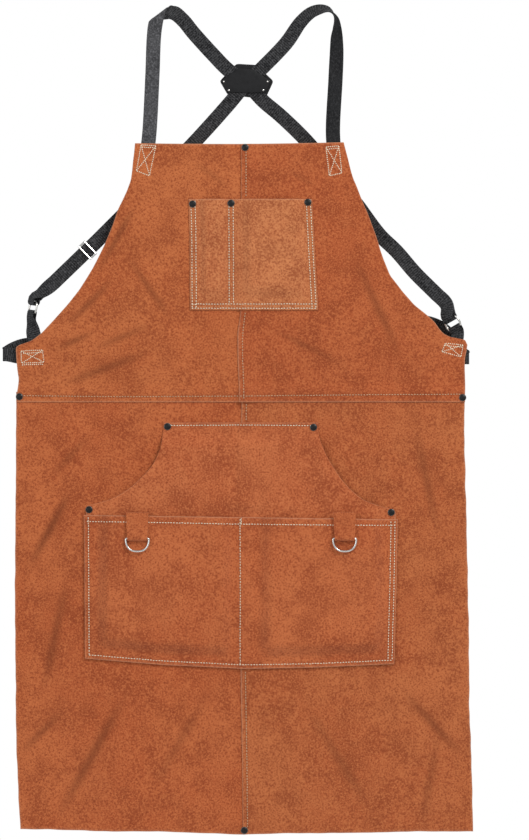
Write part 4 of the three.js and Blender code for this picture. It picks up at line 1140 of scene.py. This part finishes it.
waistBelt("belt_left", -1, 12.5, [
    ((-303, 11.4, -452.5), unit(-0.3, 0, 0.95)), ((-288, 12, -447), unit(-0.2, 0, 0.98)),
    ((-262, 12.2, -445.5), (0, 0, 1)), ((-180, 12, -448), (0, 0, 1)), ((-90, 12, -443), (0, 0, 1)),
], buckle["socketEnd"] - buckle["slot"] - buckle["bar"], "waist_belt_left", "apron", 4.0)
beltRight = waistBelt("belt_right", 1, -1, [
    ((293, 17, -454), unit(0.25, 0, -0.97)), ((281, 24, -438), unit(0.5, 0, -0.86)),
    ((264, 26.5, -423), unit(0.4, 0, -0.92)), ((240, 26, -415.5), unit(0.1, 0, -1)),
    ((190, 20, -417), unit(-0.06, 0, -1)), ((100, 13, -432), unit(-0.1, 0, -1)),
], buckle["plugEnd"] + buckle["slot"] + buckle["bar"], "waist_belt_right", None)
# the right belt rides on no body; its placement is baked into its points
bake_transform(beltRight)
print("webbing built")


tabs = {"x": 137.0, "top": -668.5, "bar": -702.5, "neck": 26.5, "back": -16.1}
tabTurnLeather = wire["radius"] + layers["gap"] + layers["leather"] / 2


def ringTab(name, x, node):
    # a strip of leather sewn under the pocket's edge, folded round the ring's bar and back up
    turn, neck, bar, back = tabTurnLeather, tabs["neck"], tabs["bar"], tabs["back"]
    level = [
        (tabs["top"] + 0.4, 0.95, 29.4), (-673, 0.95, 29.2), (-680, 0.95, 29), (-685.5, 0.95, 29),
        (-690, 1.2, 28.4), (-695, 1.9, 27.4), (-700.5, turn, neck), (bar, turn, neck),
    ]
    line = [(back, z, w) for z, spread, w in level]
    for i in range(1, 12):
        angle = math.pi * i / 12
        line.append((back - turn + turn * math.cos(angle), bar - turn * math.sin(angle), neck))
    line += [(back - 2 * spread, z, w) for z, spread, w in level[::-1]]
    ways = tangents(np.array([(0, y, z) for y, z, w in line], float))
    half = layers["leather"] / 2
    columns = np.linspace(-0.5, 0.5, 9)
    verts = []
    for way, (y, z, w) in zip(ways, line):
        normal = np.array([0, -way[2], way[1]])
        for face in (-1, 1):
            for c in columns:
                soft = 1 - 0.25 * (abs(c) * 2) ** 6
                verts.append(np.array([x + c * w, y, z]) + normal * face * half * soft)
    count, cols = len(line), len(columns)
    row = 2 * cols
    faces, indices = [], []
    for i in range(count - 1):
        for k in range(cols - 1):
            a = i * row + k
            b = a + cols
            faces.append((a, a + 1, a + 1 + row, a + row))
            indices.append(2)
            faces.append((b + 1, b, b + row, b + 1 + row))
            indices.append(0)
        for k, flip in ((0, False), (cols - 1, True)):
            a = i * row + k
            quad = (a, a + row, a + cols + row, a + cols)
            faces.append(quad[::-1] if flip else quad)
            indices.append(1)
    for i, flip in ((0, True), (count - 1, False)):
        for k in range(cols - 1):
            a = i * row + k
            quad = (a, a + 1, a + cols + 1, a + cols)
            faces.append(quad if flip else quad[::-1])
            indices.append(1)
    obj = meshObject(name, np.array(verts), faces, [suedes["tab"], cutEdge, flesh], indices)
    addAttribute(obj, "painted_shade", np.zeros(len(verts)))
    addAttribute(obj, "edge", np.zeros(len(verts)))
    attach(obj, "apron")
    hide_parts(node)


ringTab("tab_leather_left", -tabs["x"], "ring_tab_left")
ringTab("tab_leather_right", tabs["x"], "ring_tab_right")


def ringPath(width, reach, bluntness):
    # a straight bar and a bow, squarer as bluntness grows
    halfWidth = width / 2 - wire["radius"]
    corner, steps = 1.6, 56
    path = [(x, 0.0) for x in np.linspace(-halfWidth + corner, halfWidth - corner, 9)]
    power = 2 / bluntness
    for i in range(steps + 1):
        angle = math.pi * (i + 0.6) / (steps + 1.2)
        c = math.cos(angle)
        path.append((halfWidth * math.copysign(abs(c) ** power, c), reach * math.sin(angle) ** power))
    return np.array(path)


def ringPiece(name, path, xAxis, yAxis, at, body, node):
    sides = 18
    zAxis = np.cross(xAxis, yAxis)
    count = len(path)
    verts, faces = [], []
    for i in range(count):
        before, after = path[i - 1], path[(i + 1) % count]
        way = (after - before) / np.linalg.norm(after - before)
        out = np.array([way[1], -way[0]])
        for k in range(sides):
            angle = 2 * math.pi * k / sides
            place = path[i] + out * wire["radius"] * math.cos(angle)
            verts.append(at + xAxis * place[0] + yAxis * place[1] + zAxis * wire["radius"] * math.sin(angle))
    for i in range(count):
        for k in range(sides):
            a, b = i * sides + k, i * sides + (k + 1) % sides
            c, d = ((i + 1) % count) * sides + (k + 1) % sides, ((i + 1) % count) * sides + k
            faces.append((a, d, c, b))
    obj = meshObject(name, np.array(verts), faces, [nickel], sharp=90)
    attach(obj, body)
    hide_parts(node)


toolRing = {"width": 33.6, "reach": 17.0, "bluntness": 2.4}
for name, sign in (("left", -1), ("right", 1)):
    barAt = np.array([sign * tabs["x"], tabs["back"] - tabTurnLeather, tabs["bar"]])
    path = ringPath(toolRing["width"], toolRing["reach"], toolRing["bluntness"])
    ringPiece("ring_tool_" + name, path, unit(1, 0, 0), unit(0, 0, -1), barAt,
              "ring_" + name, "tool_ring_" + name)
for name, side in waistSides.items():
    path = ringPath(wire["width"], wire["reach"], wire["bluntness"])
    ringPiece("ring_waist_" + name, path, side["barAcross"], -side["pull"], side["bar"],
              "waist_ring_" + name[0], "waist_ring_" + name)


def lathe(profile, at, picks, segments=36):
    # a profile of radius and depth turned about the front-to-back direction
    verts, faces, indices = [], [], []
    count = len(profile)
    for k in range(segments):
        angle = 2 * math.pi * k / segments
        for r, y in profile:
            verts.append((at[0] + r * math.cos(angle), at[1] + y, at[2] + r * math.sin(angle)))
    for k in range(segments):
        for i in range(count - 1):
            a, b = k * count + i, k * count + i + 1
            c, d = ((k + 1) % segments) * count + i + 1, ((k + 1) % segments) * count + i
            faces.append((a, d, c, b))
            indices.append(picks[i])
    return verts, faces, indices


rivetSpots = {
    "bib_top": (5.4, -184.9), "chest_left": (-64.2, -259.8), "chest_middle": (-13.2, -258.8),
    "chest_right": (88.6, -257.6), "waist_left": (-293.6, -515.0), "waist_right": (293.6, -516.2),
    "hand_left": (-97.4, -554.6), "hand_right": (96.0, -555.6), "entry_left": (-201.2, -664.6),
    "entry_right": (199.0, -668.2), "hem": (4.4, -1089.6),
}
capProfile = [
    (0.02, -2.35), (1.2, -2.3), (2.3, -2.12), (3.2, -1.82), (3.75, -1.5), (4.0, -1.22), (4.25, -1.2),
    (4.5, -1.12), (4.72, -0.85), (4.78, -0.5), (4.72, -0.1), (4.4, 0.12), (0.02, 0.12),
]
# the cap's rim rings take the second material, the painted rim highlight
capPicks = [0, 0, 0, 0, 0, 0, 1, 1, 1, 0, 0, 0]
backProfile = [
    (0.02, 1.9), (1.2, 1.88), (1.5, 1.6), (2.1, 1.6), (3.6, 1.4), (4.5, 0.9), (4.75, 0.4), (4.7, 0.0),
    (0.02, -0.05),
]
capDepth, backDepth = -2.72, 0.85
for name, (x, z) in rivetSpots.items():
    lean = float(drape(np.array([x]), np.array([z]))[0])
    verts, faces, indices = lathe(capProfile, (x, lean + capDepth, z), capPicks)
    obj = meshObject("rivet_cap_" + name, np.array(verts), faces, [blackened, rimHighlightMetal], indices, sharp=60)
    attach(obj, "apron")
    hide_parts("rivet_" + name)
    verts, faces, indices = lathe(backProfile, (x, lean + backDepth, z), [0] * 8)
    faces = [f[::-1] for f in faces]
    obj = meshObject("rivet_bur_" + name, np.array(verts), faces, [blackened], indices, sharp=50)
    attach(obj, "apron")
    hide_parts("rivet_back_" + name)
print("rings and rivets built")


def patchPlate(name, outline, y, node, puff):
    # smooth black leather, its rim rounded over and its face slightly domed over the webbing
    outline = np.array(outline, float) + np.array(patch["middle"])
    centre = outline.mean(axis=0)
    dense = []
    for a, b in zip(outline, np.roll(outline, -1, axis=0)):
        for t in np.linspace(0.0, 1.0, 10)[:-1]:
            dense.append(a + (b - a) * t)
    dense = np.array(dense)
    corner = np.roll(dense, 1, axis=0) * 0.25 + dense * 0.5 + np.roll(dense, -1, axis=0) * 0.25
    rings = [
        (1.0, 0.8), (1.0, -0.35), (0.985, -0.7), (0.95, -0.8), (0.9, -0.8 - puff * 0.25),
        (0.75, -0.8 - puff * 0.7), (0.5, -0.8 - puff), (0.02, -0.8 - puff),
    ]
    verts, faces, indices = [], [], []
    count = len(corner)
    for share, depth in rings:
        for p in corner:
            q = centre + (p - centre) * share
            verts.append((q[0], y + depth, q[1]))
    for r in range(len(rings) - 1):
        for i in range(count):
            a, b = r * count + i, r * count + (i + 1) % count
            faces.append((a, a + count, b + count, b))
            indices.append(1 if r == 0 else 0)
    faces.append(tuple(range(count)))
    indices.append(1)
    last = (len(rings) - 1) * count
    faces.append(tuple(last + i for i in range(count))[::-1])
    indices.append(0)
    obj = meshObject(name, np.array(verts), faces, [blackLeather, blackLeatherEdge], indices, sharp=45)
    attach(obj, "apron")
    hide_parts(node)


plateOff = layers["leather"] / 2 + layers["gap"] + halfWeb
coverY, baseY = frontPass - plateOff, backPass + plateOff
baseOutline = [(-13, 25.5), (13.2, 24), (36.6, 2.5), (25.6, -21.5), (-24.5, -16), (-35.2, 2.5)]
coverOutline = [(-9.8, 19.6), (9, 17.5), (32.4, 2.6), (25.8, -13), (-26, -13), (-32.6, 3)]
patchPlate("patch_base", baseOutline, baseY, "cross_patch_base", 0)
patchPlate("patch_cover", coverOutline, coverY, "cross_patch_cover", 0.5)
studs = [(-23, -95.5), (35.3, -95.5), (29.6, -107), (-16.4, -107)]
between = baseY - coverY
studProfile = [
    (0.02, -1.0), (0.7, -0.92), (1.15, -0.65), (1.35, -0.25), (1.3, 0.05), (0.85, 0.1),
    (0.85, between + 1.7), (1.7, between + 1.75), (1.5, between + 2.4), (0.02, between + 2.7),
]
for i, (x, z) in enumerate(studs):
    verts, faces, indices = lathe(studProfile, (x, coverY - 1.0, z), [0] * 9, 20)
    obj = meshObject("patch_stud_%d" % (i + 1), np.array(verts), faces, [nickel], indices, sharp=50)
    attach(obj, "apron")
    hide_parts("patch_rivet_%d" % (i + 1))


def softEdges(node, width, mat):
    # the sliders and the buckle keep their CAD shapes, with their edges rounded a little
    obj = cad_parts[node]
    obj.data.materials.clear()
    obj.data.materials.append(mat)
    bevel = obj.modifiers.new("soft edges", "BEVEL")
    bevel.width = width
    bevel.segments = 3
    bevel.limit_method = "ANGLE"
    bevel.angle_limit = math.radians(40)


for node in ("slider_left", "slider_right"):
    softEdges(node, 0.0004, nickel)
for node in ("buckle_socket", "buckle_plug", "buckle_latch_upper", "buckle_latch_lower"):
    softEdges(node, 0.0005, plastic)
print("hardware finished")


stage = {"centre": (0.0311, 0.0, -0.5459), "tall": 1.113, "away": 7.0}
bpy.ops.mesh.primitive_cylinder_add(vertices=96, radius=0.9, depth=0.01, location=(0.03, 0.1, -1.45))
floor = bpy.context.object
floor.name = "floor_disc"
floorMat = plainMaterial("floor", (0.86, 0.86, 0.86), 0.9)
floor.data.materials.append(floorMat)
floor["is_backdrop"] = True

world = bpy.data.worlds.new("studio")
scene.world = world
world.use_nodes = True
nodes, links = world.node_tree.nodes, world.node_tree.links
nodes.clear()
seen = nodes.new("ShaderNodeBackground")
seen.inputs["Color"].default_value = (1, 1, 1, 1)
seen.inputs["Strength"].default_value = 1.0
lit = nodes.new("ShaderNodeBackground")
lit.inputs["Color"].default_value = (0.96, 0.98, 1.0, 1)
lit.inputs["Strength"].default_value = 0.55
rays = nodes.new("ShaderNodeLightPath")
choose = nodes.new("ShaderNodeMixShader")
outNode = nodes.new("ShaderNodeOutputWorld")
links.new(rays.outputs["Is Camera Ray"], choose.inputs["Fac"])
links.new(lit.outputs["Background"], choose.inputs[1])
links.new(seen.outputs["Background"], choose.inputs[2])
links.new(choose.outputs["Shader"], outNode.inputs["Surface"])


def areaLight(name, location, size, energy, colour=(1, 1, 1)):
    data = bpy.data.lights.new(name, "AREA")
    data.shape = "SQUARE"
    data.size = size
    data.energy = energy
    data.color = colour
    obj = bpy.data.objects.new(name, data)
    obj.location = location
    target = Vector(stage["centre"])
    obj.rotation_mode = "QUATERNION"
    obj.rotation_quaternion = (target - Vector(location)).to_track_quat("-Z", "Y")
    scene.collection.objects.link(obj)
    return obj


areaLight("key", (1.5, -1.9, 1.1), 0.9, 42, (1, 0.985, 0.96))
areaLight("fill", (-2.0, -2.6, -0.2), 1.8, 22, (0.97, 0.98, 1.0))
areaLight("back", (0.5, 2.4, 0.6), 1.5, 26)

cameraData = bpy.data.cameras.new("camera")
cameraData.lens = cameraData.sensor_width * stage["away"] / stage["tall"]
cameraData.clip_end = 50
camera = bpy.data.objects.new("camera", cameraData)
camera.location = (stage["centre"][0], -stage["away"], stage["centre"][2])
camera.rotation_euler = (math.radians(90), 0, 0)
scene.collection.objects.link(camera)
scene.camera = camera
scene.view_settings.view_transform = "Standard"
scene.view_settings.look = "None"
scene.view_settings.exposure = 0
scene.view_settings.gamma = 1

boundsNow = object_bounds()
for label, corners in (("at load", boundsAtLoad), ("now", boundsNow)):
    print("bounds", label, [[round(v, 4) for v in corner] for corner in corners])
